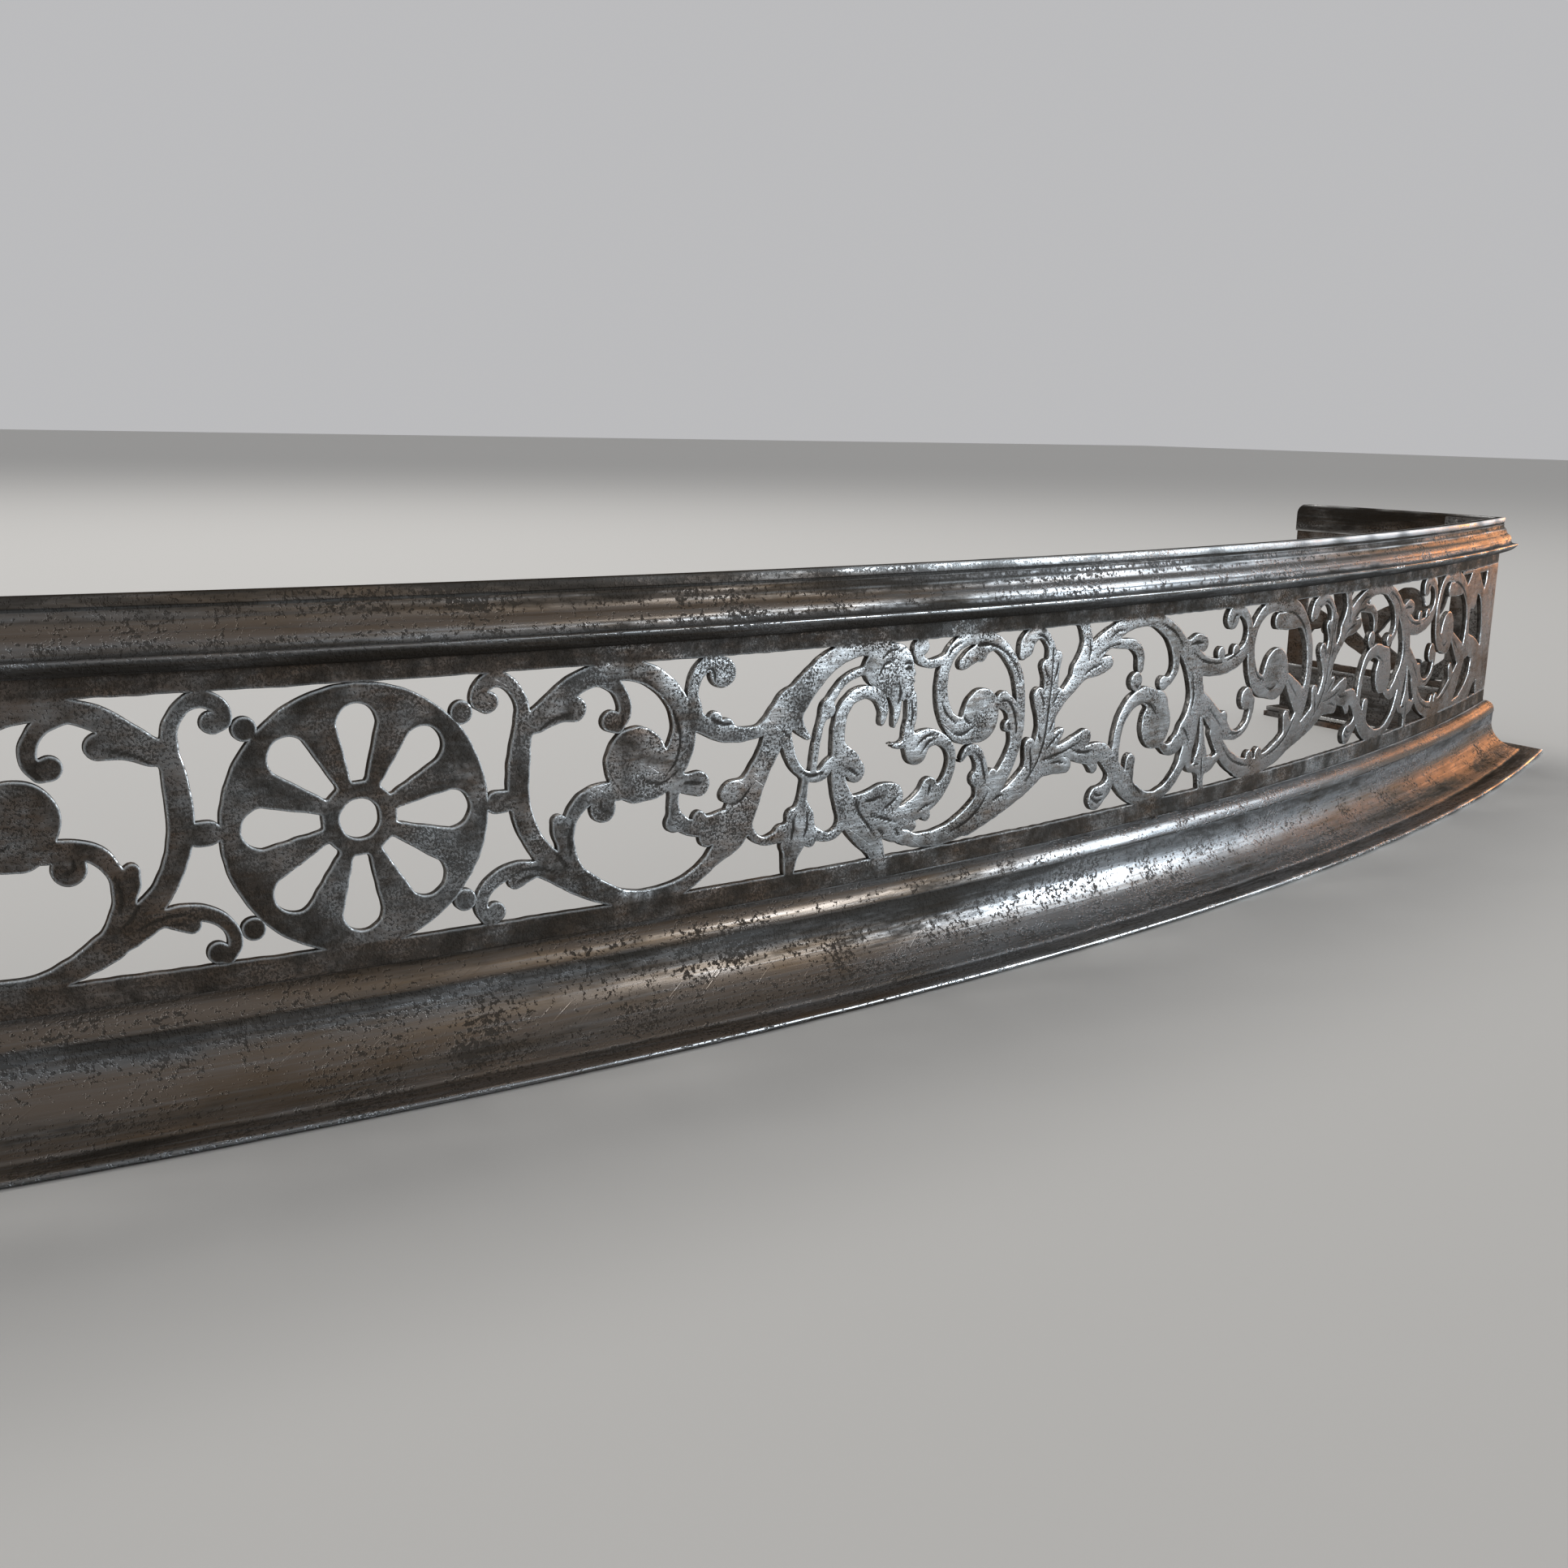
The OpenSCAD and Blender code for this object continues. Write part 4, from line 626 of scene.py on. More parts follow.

# how the plate is drawn and cut, in millimetres; the ring wear is the wear of the rings, front to back, which
# also paints a highlight along the rounded rims
plateCut = {"grid": 0.6, "low": -11.55, "high": 84.45, "bays": 9, "steps": 6, "lineSteps": 5,
            "lineWidth": 0.75, "lineDepth": 0.15, "filed": 0.1, "joinRound": 1.4, "browRound": 0.5,
            "rosetteRound": 1.0, "browSpan": (165, 200), "cornerFrom": 585, "noMetal": 30.0, "dot": 0.01,
            "reach": 5, "frontEdge": 0.6, "backEdge": 0.3, "ringWear": (0.4, 0.8, 0.9, 0.3, 0, 0),
            "faceWear": 0.15}
# stains, wear and painted shade: places along the front, then how strong each kind is; the darkening about the
# middle is a painted dark reflection, the walls' darkening painted shade inside the openings, the margins'
# partly painted shadow
stainsWearAndShade = {"middle": 125, "endFrom": 540, "endOver": 120, "brown": 0.5, "soot": 0.6,
             "marginBrown": 0.35, "marginSoot": 0.65, "marginWear": 0.5, "wallSoot": 0.6, "lineSoot": 1.5}
# the hand's marks on the faces, all depths in millimetres but the second, a distance
handWork = {"eased": 0.16, "easedOver": 1.3, "pitting": 0.11, "wave": 0.035, "sunk": 0.04}
# each kind of unevenness: how many waves, and their lowest and highest turn to a millimetre
waves = {"filing": (14, 0.15, 1.6), "pitting": (16, 1.0, 4.0), "face": (9, 0.06, 0.5),
         "dents": (12, 0.02, 0.9), "losses": (12, 0.1, 1.6), "rubbing": (9, 0.02, 0.3)}
sideBars = ((5, 20), (140, 12))  # plain bars at the ends of a return: middle, half width
seeds = {"frontEdges": 3, "frontFace": 5, "sideEdges": 14, "sideFace": 6, "frontMoulding": 11,
         "sideMoulding": 21}
bandTop = plan["bandHeight"] / mm
singleLeaves = ("firstScroll", "risingStem", "figureLeaf", "beard", "smallCurl", "runningScroll", "boldScroll")
repeatedLeaves = ("plume", "facingPair", "husk", "crestLeaf")


def joinRounded(a, b, k):
    # smooth minimum: the smaller distance, with the corner where both meet filled to a radius near k
    h = np.clip(0.5 + 0.5 * (b - a) / k, 0, 1)
    return b + (a - b) * h - k * h * (1 - h)


def strandDistance(line, us, zs):
    # distance to a chain of tapering bars: distance to each span less its own half width, smallest kept
    u, z = us[None, :, None], zs[None, None, :]
    a, b = line[:-1, :, None, None], line[1:, :, None, None]
    du, dz = b[:, 0] - a[:, 0], b[:, 1] - a[:, 1]
    t = np.clip(((u - a[:, 0]) * du + (z - a[:, 1]) * dz) / np.maximum(du ** 2 + dz ** 2, tiny), 0, 1)
    reach = np.hypot(u - a[:, 0] - t * du, z - a[:, 1] - t * dz)
    return (reach - (a[:, 2] + t * (b[:, 2] - a[:, 2])) / 2).min(axis=0)


def windowRound(line, us, zs, margin):
    # the part of the grid that holds the line with a margin round it
    low, high = line.min(axis=0) - margin, line.max(axis=0) + margin
    return slice(*np.searchsorted(us, (low[0], high[0]))), slice(*np.searchsorted(zs, (low[1], high[1])))


def moved(line, table):
    # the line with its places along the plate read through a table, drawn place to real place
    line = np.array(line, float)
    if table:
        line[:, 0] = np.interp(line[:, 0], *zip(*table))
    return line


def addStrand(field, line, us, zs):
    # lowers the field round one strand, inside its own window only
    spot = windowRound(line, us, zs, line[:, 2].max() / 2 + plateCut["reach"])
    away = strandDistance(line, us[spot[0]], zs[spot[1]])
    field[spot] = joinRounded(away, field[spot], plateCut["joinRound"])


def cutLines(depth, strokes, us, zs, table=None):
    # engraved lines: 1 along the middle of each stroke, easing to 0 at its sides, thin at both ends
    for stroke in strokes:
        line = moved(splineThrough(stroke, plateCut["lineSteps"]), table)
        width = plateCut["lineWidth"] * (0.3 + 0.7 * np.sin(np.linspace(0, math.pi, len(line))))
        line = np.c_[line, width]
        spot = windowRound(line, us, zs, 2)
        away = strandDistance(line, us[spot[0]], zs[spot[1]])
        depth[spot] = np.maximum(depth[spot], np.clip(0.5 - away / 0.5, 0, 1))


def addLeaf(field, depth, key, us, zs, table=None):
    # each strand is a smooth chain of bars, each round end a very short one; then the leaf's cut lines
    for strand in pattern[key]["strands"]:
        addStrand(field, splineThrough(moved(strand, table), plateCut["steps"]), us, zs)
    for end in pattern[key]["ends"]:
        at = moved([end], table)
        addStrand(field, np.vstack([at, at + (plateCut["dot"], 0, 0)]), us, zs)
    cutLines(depth, engraving.get(key, []), us, zs, table)


def outlineDistance(outline, us, zs):
    # distance to a closed outline, negative inside: nearest side, with an odd count of crossings inside
    p = np.asarray(outline, float)
    closed = np.c_[np.vstack([p, p[:1]]), np.zeros(len(p) + 1)]
    away = strandDistance(closed, us, zs)
    u, z = us[None, :, None], zs[None, None, :]
    a, b = closed[:-1, :, None, None], closed[1:, :, None, None]
    across = (a[:, 1] > z) != (b[:, 1] > z)
    rise = np.where(b[:, 1] == a[:, 1], tiny, b[:, 1] - a[:, 1])
    left = u < a[:, 0] + (z - a[:, 1]) / rise * (b[:, 0] - a[:, 0])
    return np.where((across & left).sum(axis=0) % 2 == 1, -away, away)


def rosetteDistance(us, zs, r):
    # a disc less its hub hole and its petals: each petal is a tapering bar pointing outwards
    u, z = us[:, None], zs[None, :] - r["middle"]
    far = np.hypot(u, z)
    sector = 2 * math.pi / r["petals"]
    turn = (np.arctan2(z, u) + sector / 2) % sector - sector / 2
    x, y = far * np.cos(turn), far * np.sin(turn)
    span = r["petalReach"] - r["footReach"]
    t = np.clip((x - r["footReach"]) / span, 0, 1)
    wide = (r["petalFoot"] + t * (r["petalEnd"] - r["petalFoot"])) / 2
    petal = np.hypot(x - r["footReach"] - t * span, y) - wide
    petal = np.maximum(r["footReach"] - r["footDepth"] - x, petal)
    hole = np.minimum(petal, far - r["hub"] / 2)
    return np.maximum(far - r["diameter"] / 2, -hole)


def emptyPlate(us, zs):
    # no metal anywhere, no cut lines
    return np.full((len(us), len(zs)), plateCut["noMetal"]), np.zeros((len(us), len(zs)))


def frontPattern(us, zs):
    # distance to the metal of the right half, from 0 to the corner, and depth of its cut lines: the
    # leaves one after the other, the head's profile, the corner plate less its openings, the rosette
    field, depth = emptyPlate(us, zs)
    for key in singleLeaves:
        addLeaf(field, depth, key, us, zs)
    addLeaf(field, depth, "boldScroll", us, zs, placing["lastBold"])
    for key in repeatedLeaves:
        for table in (None, placing["repeat"]):
            addLeaf(field, depth, key, us, zs, table)
    for key in ("beads", "head"):
        addLeaf(field, depth, key, us, zs)
    spot = slice(*np.searchsorted(us, plateCut["browSpan"]))
    brow = outlineDistance(headProfile, us[spot], zs)
    field[spot] = joinRounded(brow, field[spot], plateCut["browRound"])
    spot = slice(np.searchsorted(us, plateCut["cornerFrom"]), None)
    block = outlineDistance(cornerPlate["outline"], us[spot], zs)
    for opening in cornerPlate["openings"]:
        block = np.maximum(block, -outlineDistance(opening, us[spot], zs))
    field[spot] = joinRounded(block, field[spot], plateCut["joinRound"])
    return joinRounded(rosetteDistance(us, zs, rosetteShape), field, plateCut["rosetteRound"]), depth


def addMargins(field, us, zs, seed):
    # plain strips below and above the pierced band and a hand-filed edge, a little in and out;
    # then the plate's own straight edges
    strips = np.minimum(zs, bandTop - zs)[None, :]
    field = joinRounded(strips, field, plateCut["joinRound"])
    field = field + plateCut["filed"] * unevenness(us[:, None], zs[None, :], seed, *waves["filing"])
    return np.maximum(field, np.maximum(plateCut["low"] - zs, zs - plateCut["high"])[None, :])


def marginShare(z):
    # 1 on the plain strips, easing to 0 inside the pierced band
    return np.clip(np.maximum(-z, z - bandTop) / 2 + 0.6, 0, 1)


def surfaceRelief(us, zs, field, lines, seed):
    # hand-filed faces: edges eased down a little, the whole slightly wavy, the plain strips rough
    # with old pitting, and the engraved lines sunk
    u, z = us[:, None], zs[None, :]
    eased = handWork["eased"] * np.exp(np.minimum(field, 0) / handWork["easedOver"])
    pitted = np.clip(unevenness(u, z, seed + 9, *waves["pitting"]), 0, 2) * handWork["pitting"] * marginShare(z)
    wave = handWork["wave"] * unevenness(u, z, seed, *waves["face"])
    return eased + pitted + wave + handWork["sunk"] + plateCut["lineDepth"] * lines


# marching squares: the outlines of the metal in a cell, by which of its corners are metal;
# 0 to 3 are the corners and 4 to 7 the cut sides
cellShapes = {1: [(0, 4, 7)], 2: [(4, 1, 5)], 3: [(0, 1, 5, 7)], 4: [(5, 2, 6)], 5: [(0, 4, 7), (2, 6, 5)],
              6: [(4, 1, 2, 6)], 7: [(0, 1, 2, 6, 7)], 8: [(7, 6, 3)], 9: [(0, 4, 6, 3)],
              10: [(4, 1, 5), (7, 6, 3)], 11: [(0, 1, 5, 6, 3)], 12: [(7, 5, 2, 3)],
              13: [(0, 4, 5, 2, 3)], 14: [(4, 1, 2, 3, 7)], 15: [(0, 1, 2, 3)]}


def cellFaces(inside, ring):
    # the same cell shapes close the front and the back; strips join the rings along each cut
    rows, cols = inside.shape
    count = rows * cols
    i, j = np.mgrid[0:rows - 1, 0:cols - 1]
    corner = [i * cols + j, (i + 1) * cols + j, (i + 1) * cols + j + 1, i * cols + j + 1]
    upward = count - cols + i * (cols - 1) + j
    edge = [i * cols + j, upward + cols - 1, i * cols + j + 1, upward]
    code = sum(inside.reshape(-1)[c].astype(int) << b for b, c in enumerate(corner))
    polys = []
    for case, shapes in cellShapes.items():
        at = code == case
        if not at.any():
            continue
        for shape in shapes:
            front = [corner[s][at] if s < 4 else edge[s - 4][at] + ring[0] for s in shape]
            rear = [corner[s][at] + count if s < 4 else edge[s - 4][at] + ring[-1] for s in shape]
            polys += [np.stack(front, axis=1), np.stack(rear[::-1], axis=1)]
            for a, b in zip(shape, shape[1:] + shape[:1]):
                if a > 3 and b > 3:
                    ea, eb = edge[a - 4][at], edge[b - 4][at]
                    polys += [np.stack([eb + low, ea + low, ea + high, eb + high], axis=1)
                              for low, high in zip(ring[:-1], ring[1:])]
    return polys


def endFaces(inside, ring):
    # the cut ends of the plate, one long face to each bar of metal: up its front, down its back
    rows, cols = inside.shape
    count = rows * cols
    faces = []
    for end in (0, rows - 1):
        row = inside[end].astype(int)
        starts, stops = np.flatnonzero(np.diff(row) == 1) + 1, np.flatnonzero(np.diff(row) == -1)
        for first, last in zip(starts, stops):
            run = end * cols + np.arange(first, last + 1)
            rise = count - cols + end * (cols - 1)
            face = np.concatenate([run, [rise + last + k for k in ring], run[::-1] + count,
                                   [rise + first - 1 + k for k in ring[::-1]]])
            faces.append((face if end == 0 else face[::-1])[None, :])
    return faces


def plateMarks(points, worn, lines, start, way, h):
    # walls darkened as painted shade, a wall being what lies deeper than the rounded edge, the back a little
    # too;
    # strips darkened with soot and painted shadow, cut lines with soot; darker about the middle as a painted
    # dark reflection, browner about the middle and towards the ends
    margin, deep = marginShare(points[:, 1]), points[:, 2]
    wall = np.clip((deep - 0.5) / 0.4, 0, 1) * np.clip((2.5 - deep) / 0.1, 0.4, 1)
    # the strips' darkening is partly soot and partly painted shadow under the rail's lip
    soot = np.maximum(h["marginSoot"] * margin * (deep < 2), wall * h["wallSoot"])
    soot[:lines.size] = np.maximum(soot[:lines.size], h["lineSoot"] * lines.reshape(-1))
    along = points * (way, 1, 1) + (start, 0, 0)
    # the soot about the middle paints a dark reflection
    middle = np.exp(-(along[:, 0] / h["middle"]) ** 2)
    ends = np.clip((np.abs(along[:, 0]) - h["endFrom"]) / h["endOver"], 0, 1)
    return {"along": along * mm, "worn": worn * (1 - h["marginWear"] * margin),
            "brown": h["marginBrown"] * margin + h["brown"] * middle + h["brown"] * ends,
            "soot": np.maximum(soot, h["soot"] * middle)}


def cutPlate(field, us, zs, place, relief, lines, start=0, way=1):
    # marching squares on the distance field give the flat front; its rim is carried outwards and
    # back in rings for the rounded edge and the wall, and the same cells close the back
    r, back, thick = plateCut["frontEdge"], plateCut["backEdge"], plan["plate"] / mm
    level = field + r
    level[level == 0] = 1e-6
    slope = np.stack(np.gradient(field, us, zs), axis=-1)
    slope /= np.maximum(np.linalg.norm(slope, axis=-1, keepdims=True), 0.3)
    nodes = np.stack(np.broadcast_arrays(us[:, None], zs[None, :]), axis=-1)

    def crossing(a, b):
        # place, slope and relief where the level passes 0 on the way from node a to node b
        t = level[a] / np.where(level[a] == level[b], 1, level[a] - level[b])
        t = np.clip(t, 0.03, 0.97)[..., None]
        kinds = nodes, slope, relief[..., None]
        return [(q[a] + (q[b] - q[a]) * t).reshape(-1, q.shape[-1]) for q in kinds]

    sideways, upwards = (np.s_[:-1, :], np.s_[1:, :]), (np.s_[:, :-1], np.s_[:, 1:])
    spots, slopes, dips = (np.concatenate(q) for q in zip(crossing(*sideways), crossing(*upwards)))
    turns = np.radians([0, 30, 60, 90])
    rings = [(r * math.sin(a), r * (1 - math.cos(a)), 1 - i / 3) for i, a in enumerate(turns)]
    rings += [(r, thick - back, 0), (r - back, thick, 0)]
    flat, count = nodes.reshape(-1, 2), level.size
    points = [np.c_[flat, relief.reshape(-1)], np.c_[flat, np.full(count, thick)]]
    points += [np.c_[spots + slopes * off, deep + dips[:, 0] * keep] for off, deep, keep in rings]
    points = np.concatenate(points)
    # the rounded rings carry wear with a painted highlight, the face near the rim a little of it
    near = np.clip(1 + level.reshape(-1) / plateCut["frontEdge"], 0, 1) * plateCut["faceWear"]
    rubbed = [np.full(len(spots), w) for w in plateCut["ringWear"]]
    worn = np.concatenate([near, np.zeros(count)] + rubbed)
    ring = [2 * count + k * len(spots) for k in range(len(rings))]
    polys = cellFaces(level < 0, ring) + endFaces(level < 0, ring)
    marks = plateMarks(points, worn, lines, start, way, stainsWearAndShade)
    return place(points[:, 0] * mm, points[:, 1] * mm, points[:, 2] * mm), marks, polys


def arcEnd(out):
    # the turn at which a surface that far out from the bow's face meets the mitre, less the gap
    return np.arcsin((half + out) / (bowRadius + out)) - plan["mitreGap"] / bowRadius


def onBow(u, z, deep):
    # wraps the plate round the bow; its ends lie on the mitre, where deeper points stop sooner
    pull = np.clip((np.abs(u) / arcHalf - 0.96) / 0.04, 0, 1)
    turn = u / bowRadius * (1 - pull * (1 - arcEnd(-deep) * bowRadius / arcHalf))
    r = bowRadius - deep
    return np.c_[r * np.sin(turn), bowY - r * np.cos(turn), plan["bandLow"] + z]


def mitreY(out):
    # where the circle that far out from the bow's face meets the return's plane, as far out
    return bowY - np.sqrt((bowRadius + out) ** 2 - (half + out) ** 2)


def onReturn(side):
    def place(v, z, deep):
        # straight back from the corner; the front end lies on the mitre
        start = mitreY(-deep) - cornerY + plan["mitreGap"]
        y = cornerY + start + v * (1 - start / plan["returnLength"])
        return np.c_[side * (half - deep), y, plan["bandLow"] + z]
    return place


def mirrored(q, sign=1):
    # the right half with its mirror image before it
    return np.concatenate([sign * q[:0:-1], q])


grid = plateCut["grid"]
zs = np.arange(plateCut["low"] - 2 * grid, plateCut["high"] + 2 * grid + 0.01, grid)
rightUs = np.linspace(0, arcHalf / mm, int(arcHalf / mm / grid) + 1)
rightField, rightLines = frontPattern(rightUs, zs)
us, lines = mirrored(rightUs, -1), mirrored(rightLines)
field = addMargins(mirrored(rightField), us, zs, seeds["frontEdges"])
relief = surfaceRelief(us, zs, field, lines, seeds["frontFace"])
print("fender: pattern drawn on %d by %d points" % field.shape)

cuts = np.linspace(0, len(us) - 1, plateCut["bays"] + 1).astype(int)
for bay, (a, b) in enumerate(zip(cuts[:-1], cuts[1:]), 1):
    part = np.s_[a:b + 1]
    points, marks, polys = cutPlate(field[part], us[part], zs, onBow, relief[part], lines[part])
    piece = meshPiece("friezeBay%d" % bay, points, polys, friezeSteel, marks)
    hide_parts("front_frieze")

sideLength = plan["returnLength"] / mm
sideUs = np.linspace(0, sideLength, int(sideLength / grid) + 1)
sideField, sideLines = emptyPlate(sideUs, zs)
for key, table in (("boldScroll", "sideBold"), ("plume", "sidePlume"), ("sideLeaf", None)):
    addLeaf(sideField, sideLines, key, sideUs, zs, placing.get(table))
bars = np.min([np.abs(sideUs - middle) - wide for middle, wide in sideBars], axis=0)[:, None]
sideField = joinRounded(bars, sideField, plateCut["joinRound"])
for side, name in ((-1, "left"), (1, "right")):
    whole = addMargins(sideField, sideUs, zs, seeds["sideEdges"] + side)
    relief = surfaceRelief(sideUs, zs, whole, sideLines, seeds["sideFace"] + side)
    points, marks, polys = cutPlate(whole, sideUs, zs, onReturn(side), relief, sideLines,
                                    side * arcHalf / mm, side)
    piece = meshPiece(name + "ReturnFrieze", points, polys, friezeSteel, marks)
    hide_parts(name + "_frieze")
print("fender: frieze pierced")

# mouldings: a section carried round the plan; each point is out from the frieze face and height in
# millimetres, then how brown and how sooty the metal is there, the soot also painting shade under lips, in
# grooves, on undersides and backs; each list is a run between corners
# the rail's soot column paints shade under the lip, under the roll, in the groove below the top fillet and on
# the back
railSection = [
    [(0.3, 0, 0.2, 0.9), (2.4, 0.2, 0.2, 0.9), (4.6, 1, 0.2, 0.9), (6.6, 2.3, 0.2, 0.85),
     (8, 3.8, 0.1, 0.6), (8.3, 4.4, 0, 0.1)],
    [(8.3, 4.9, 0, 0), (7.5, 5.2, 0, 0.1)],
    [(6, 5.2, 0.1, 0.9), (5.2, 5.8, 0.2, 0.6), (4.8, 6.8, 0.2, 0.3), (4.8, 7.8, 0.3, 0.1),
     (4.4, 8.8, 0.5, 0), (3.7, 9.8, 0.6, 0), (2.7, 10.6, 0.8, 0.1), (2.2, 11.6, 1, 0.2),
     (1.9, 13, 0.7, 0.6)],
    [(1, 13.7, 0.4, 0.6), (0.7, 14.6, 0.4, 0.5), (0.9, 15.5, 0.4, 0.6)],
    [(0.4, 15.8, 0, 1), (0.4, 16.2, 0, 1)],
    [(0.9, 16.4, 0.6, 0.6), (0.9, 18.7, 0.6, 0.6)],
    [(0.5, 19.1, 0.5, 0.8), (-4.2, 19.1, 0.5, 0.9)],
    [(-4.2, 3, 0.5, 0.4), (-2.9, 3, 0.5, 0.9)],
    [(-2.9, 9.5, 0.5, 0.9), (0.3, 9.5, 0.5, 0.9)]]
# the base's soot column paints shade in the groove under the roll, on the underside and the back; in the lower
# cove its brown and soot are partly patina and partly a painted dark reflection
baseSection = [
    [(0.3, 29.5, 0.3, 0.6), (1.9, 29.2, 0.4, 0.4), (3.5, 28.4, 0.6, 0.1), (4.9, 27.1, 0.7, 0),
     (5.7, 25.3, 0.7, 0), (6, 23.3, 0.5, 0)],
    [(5.6, 22.3, 0.1, 0.8), (5.5, 19, 0.1, 0.6), (5.5, 15.8, 0.3, 0.35), (6.3, 12.7, 0.6, 0.15),
     (7.9, 9.6, 0.7, 0.1), (10.7, 6.4, 0.8, 0.2), (14.8, 3.7, 0.8, 0.4), (20, 1.9, 0.6, 0)],
    [(20.7, 1.2, 0.5, 0.6), (30.8, 2, 0.6, 0.2)],
    [(31.4, 1.7, 0, 0), (31.6, 1.1, 0, 0), (31.4, 0.4, 0, 0.5)],
    [(30.9, 0, 0.2, 0.9), (17, 0, 0.2, 0.9)],
    [(13.6, 1.5, 0.4, 0.5), (9.1, 4.5, 0.4, 0.5), (5.9, 8.2, 0.4, 0.5), (3.9, 12, 0.4, 0.5),
     (3, 16.5, 0.4, 0.5)],
    [(3, 21.5, 0.4, 0.5), (-2.9, 21.5, 0.4, 0.5)],
    [(-2.9, 5.8, 0.4, 0.5), (-2.91, 3.3, 0.4, 0.5)],
    [(-17, 3.3, 0.4, 0.4), (-17, 5.8, 0.5, 0.3)],
    [(-5.4, 5.8, 0.5, 0.5), (-5.4, 32.5, 0.4, 0.3)],
    [(-2.9, 32.5, 0.5, 0.6), (-2.9, 24.3, 0.5, 0.9)],
    [(0.3, 24.3, 0.5, 0.9)]]
mouldingLook = {"railLift": 5.4, "railTop": 19.1, "corner": 0.22, "sharp": 0.3, "gap": 1.6, "spanSteps": 3,
                "stationStep": 2.95, "dent": 0.05, "edgeLoss": 0.12, "sunk": 0.1, "edgeSpread": 0.7,
                "edgeFull": 0.9, "rubbed": 0.8, "rubbedBy": 0.35, "calm": 0.85, "calmOver": 0.2,
                "tone": (0.1, 1.2), "toneOver": 0.65, "brownMore": 0.2, "apart": 0.013, "sharpFrom": 40,
                "endRound": 6}
railZ = (plan["bandLow"] + plan["bandHeight"]) / mm + mouldingLook["railLift"]


def easeCorners(p, look):
    # cuts each sharp corner of the closed section off: a point before and a point behind take its place
    before, after = np.roll(p, 1, 0) - p, np.roll(p, -1, 0) - p
    lb, la = np.hypot(*before[:, :2].T), np.hypot(*after[:, :2].T)
    turn = np.abs(np.arctan2(before[:, 0] * after[:, 1] - before[:, 1] * after[:, 0],
                             -(before * after)[:, :2].sum(1)))
    sharp = turn > look["sharp"]
    cut = np.minimum(look["corner"], 0.3 * np.minimum(lb, la))[:, None]
    first = np.where(sharp[:, None], p + before / np.maximum(lb, tiny)[:, None] * cut, p)
    second = p + after / np.maximum(la, tiny)[:, None] * cut
    both = np.stack([first, second], axis=1).reshape(-1, p.shape[1])
    return both[np.stack([np.ones(len(p), bool), sharp], axis=1).reshape(-1)]


def drawSection(runs, lift, look):
    # each run of points becomes a smooth curve, the corners between runs are eased twice, and long
    # sides get points between
    line = [splineThrough(run, look["spanSteps"]) if len(run) > 2 else np.array(run, float) for run in runs]
    p = np.concatenate(line) + (0, lift, 0, 0)
    for _ in range(2):
        p = easeCorners(p, look)
    side = np.roll(p, -1, 0) - p
    steps = np.maximum(1, np.round(np.hypot(*side[:, :2].T) / look["gap"]).astype(int))
    which = np.repeat(np.arange(len(p)), steps)
    part = (np.arange(len(which)) - np.repeat(np.cumsum(steps) - steps, steps)) / np.repeat(steps, steps)
    return p[which] + side[which] * part[:, None]


def sectionMarks(p, look):
    # how convex the section is near each point, its outward normal and the length along it
    ahead, behind = np.roll(p, -1, 0) - p, p - np.roll(p, 1, 0)
    turn = np.arctan2(behind[:, 0] * ahead[:, 1] - behind[:, 1] * ahead[:, 0], (behind * ahead).sum(1))
    area = 0.5 * (p[:, 0] * np.roll(p[:, 1], -1) - np.roll(p[:, 0], -1) * p[:, 1]).sum()
    way = math.copysign(1, area)
    s = np.concatenate(([0], np.cumsum(np.linalg.norm(ahead, axis=1))[:-1]))
    total = s[-1] + np.linalg.norm(ahead[-1])
    apart = np.abs(s[:, None] - s[None, :])
    apart = np.minimum(apart, total - apart)
    near = np.exp(-(apart / look["edgeSpread"]) ** 2) @ (turn * way)
    tangent = ahead + behind
    normal = np.c_[tangent[:, 1], -tangent[:, 0]] * way
    normal /= np.maximum(np.linalg.norm(normal, axis=1, keepdims=True), tiny)
    return np.clip(near / look["edgeFull"], 0, 1), normal, s


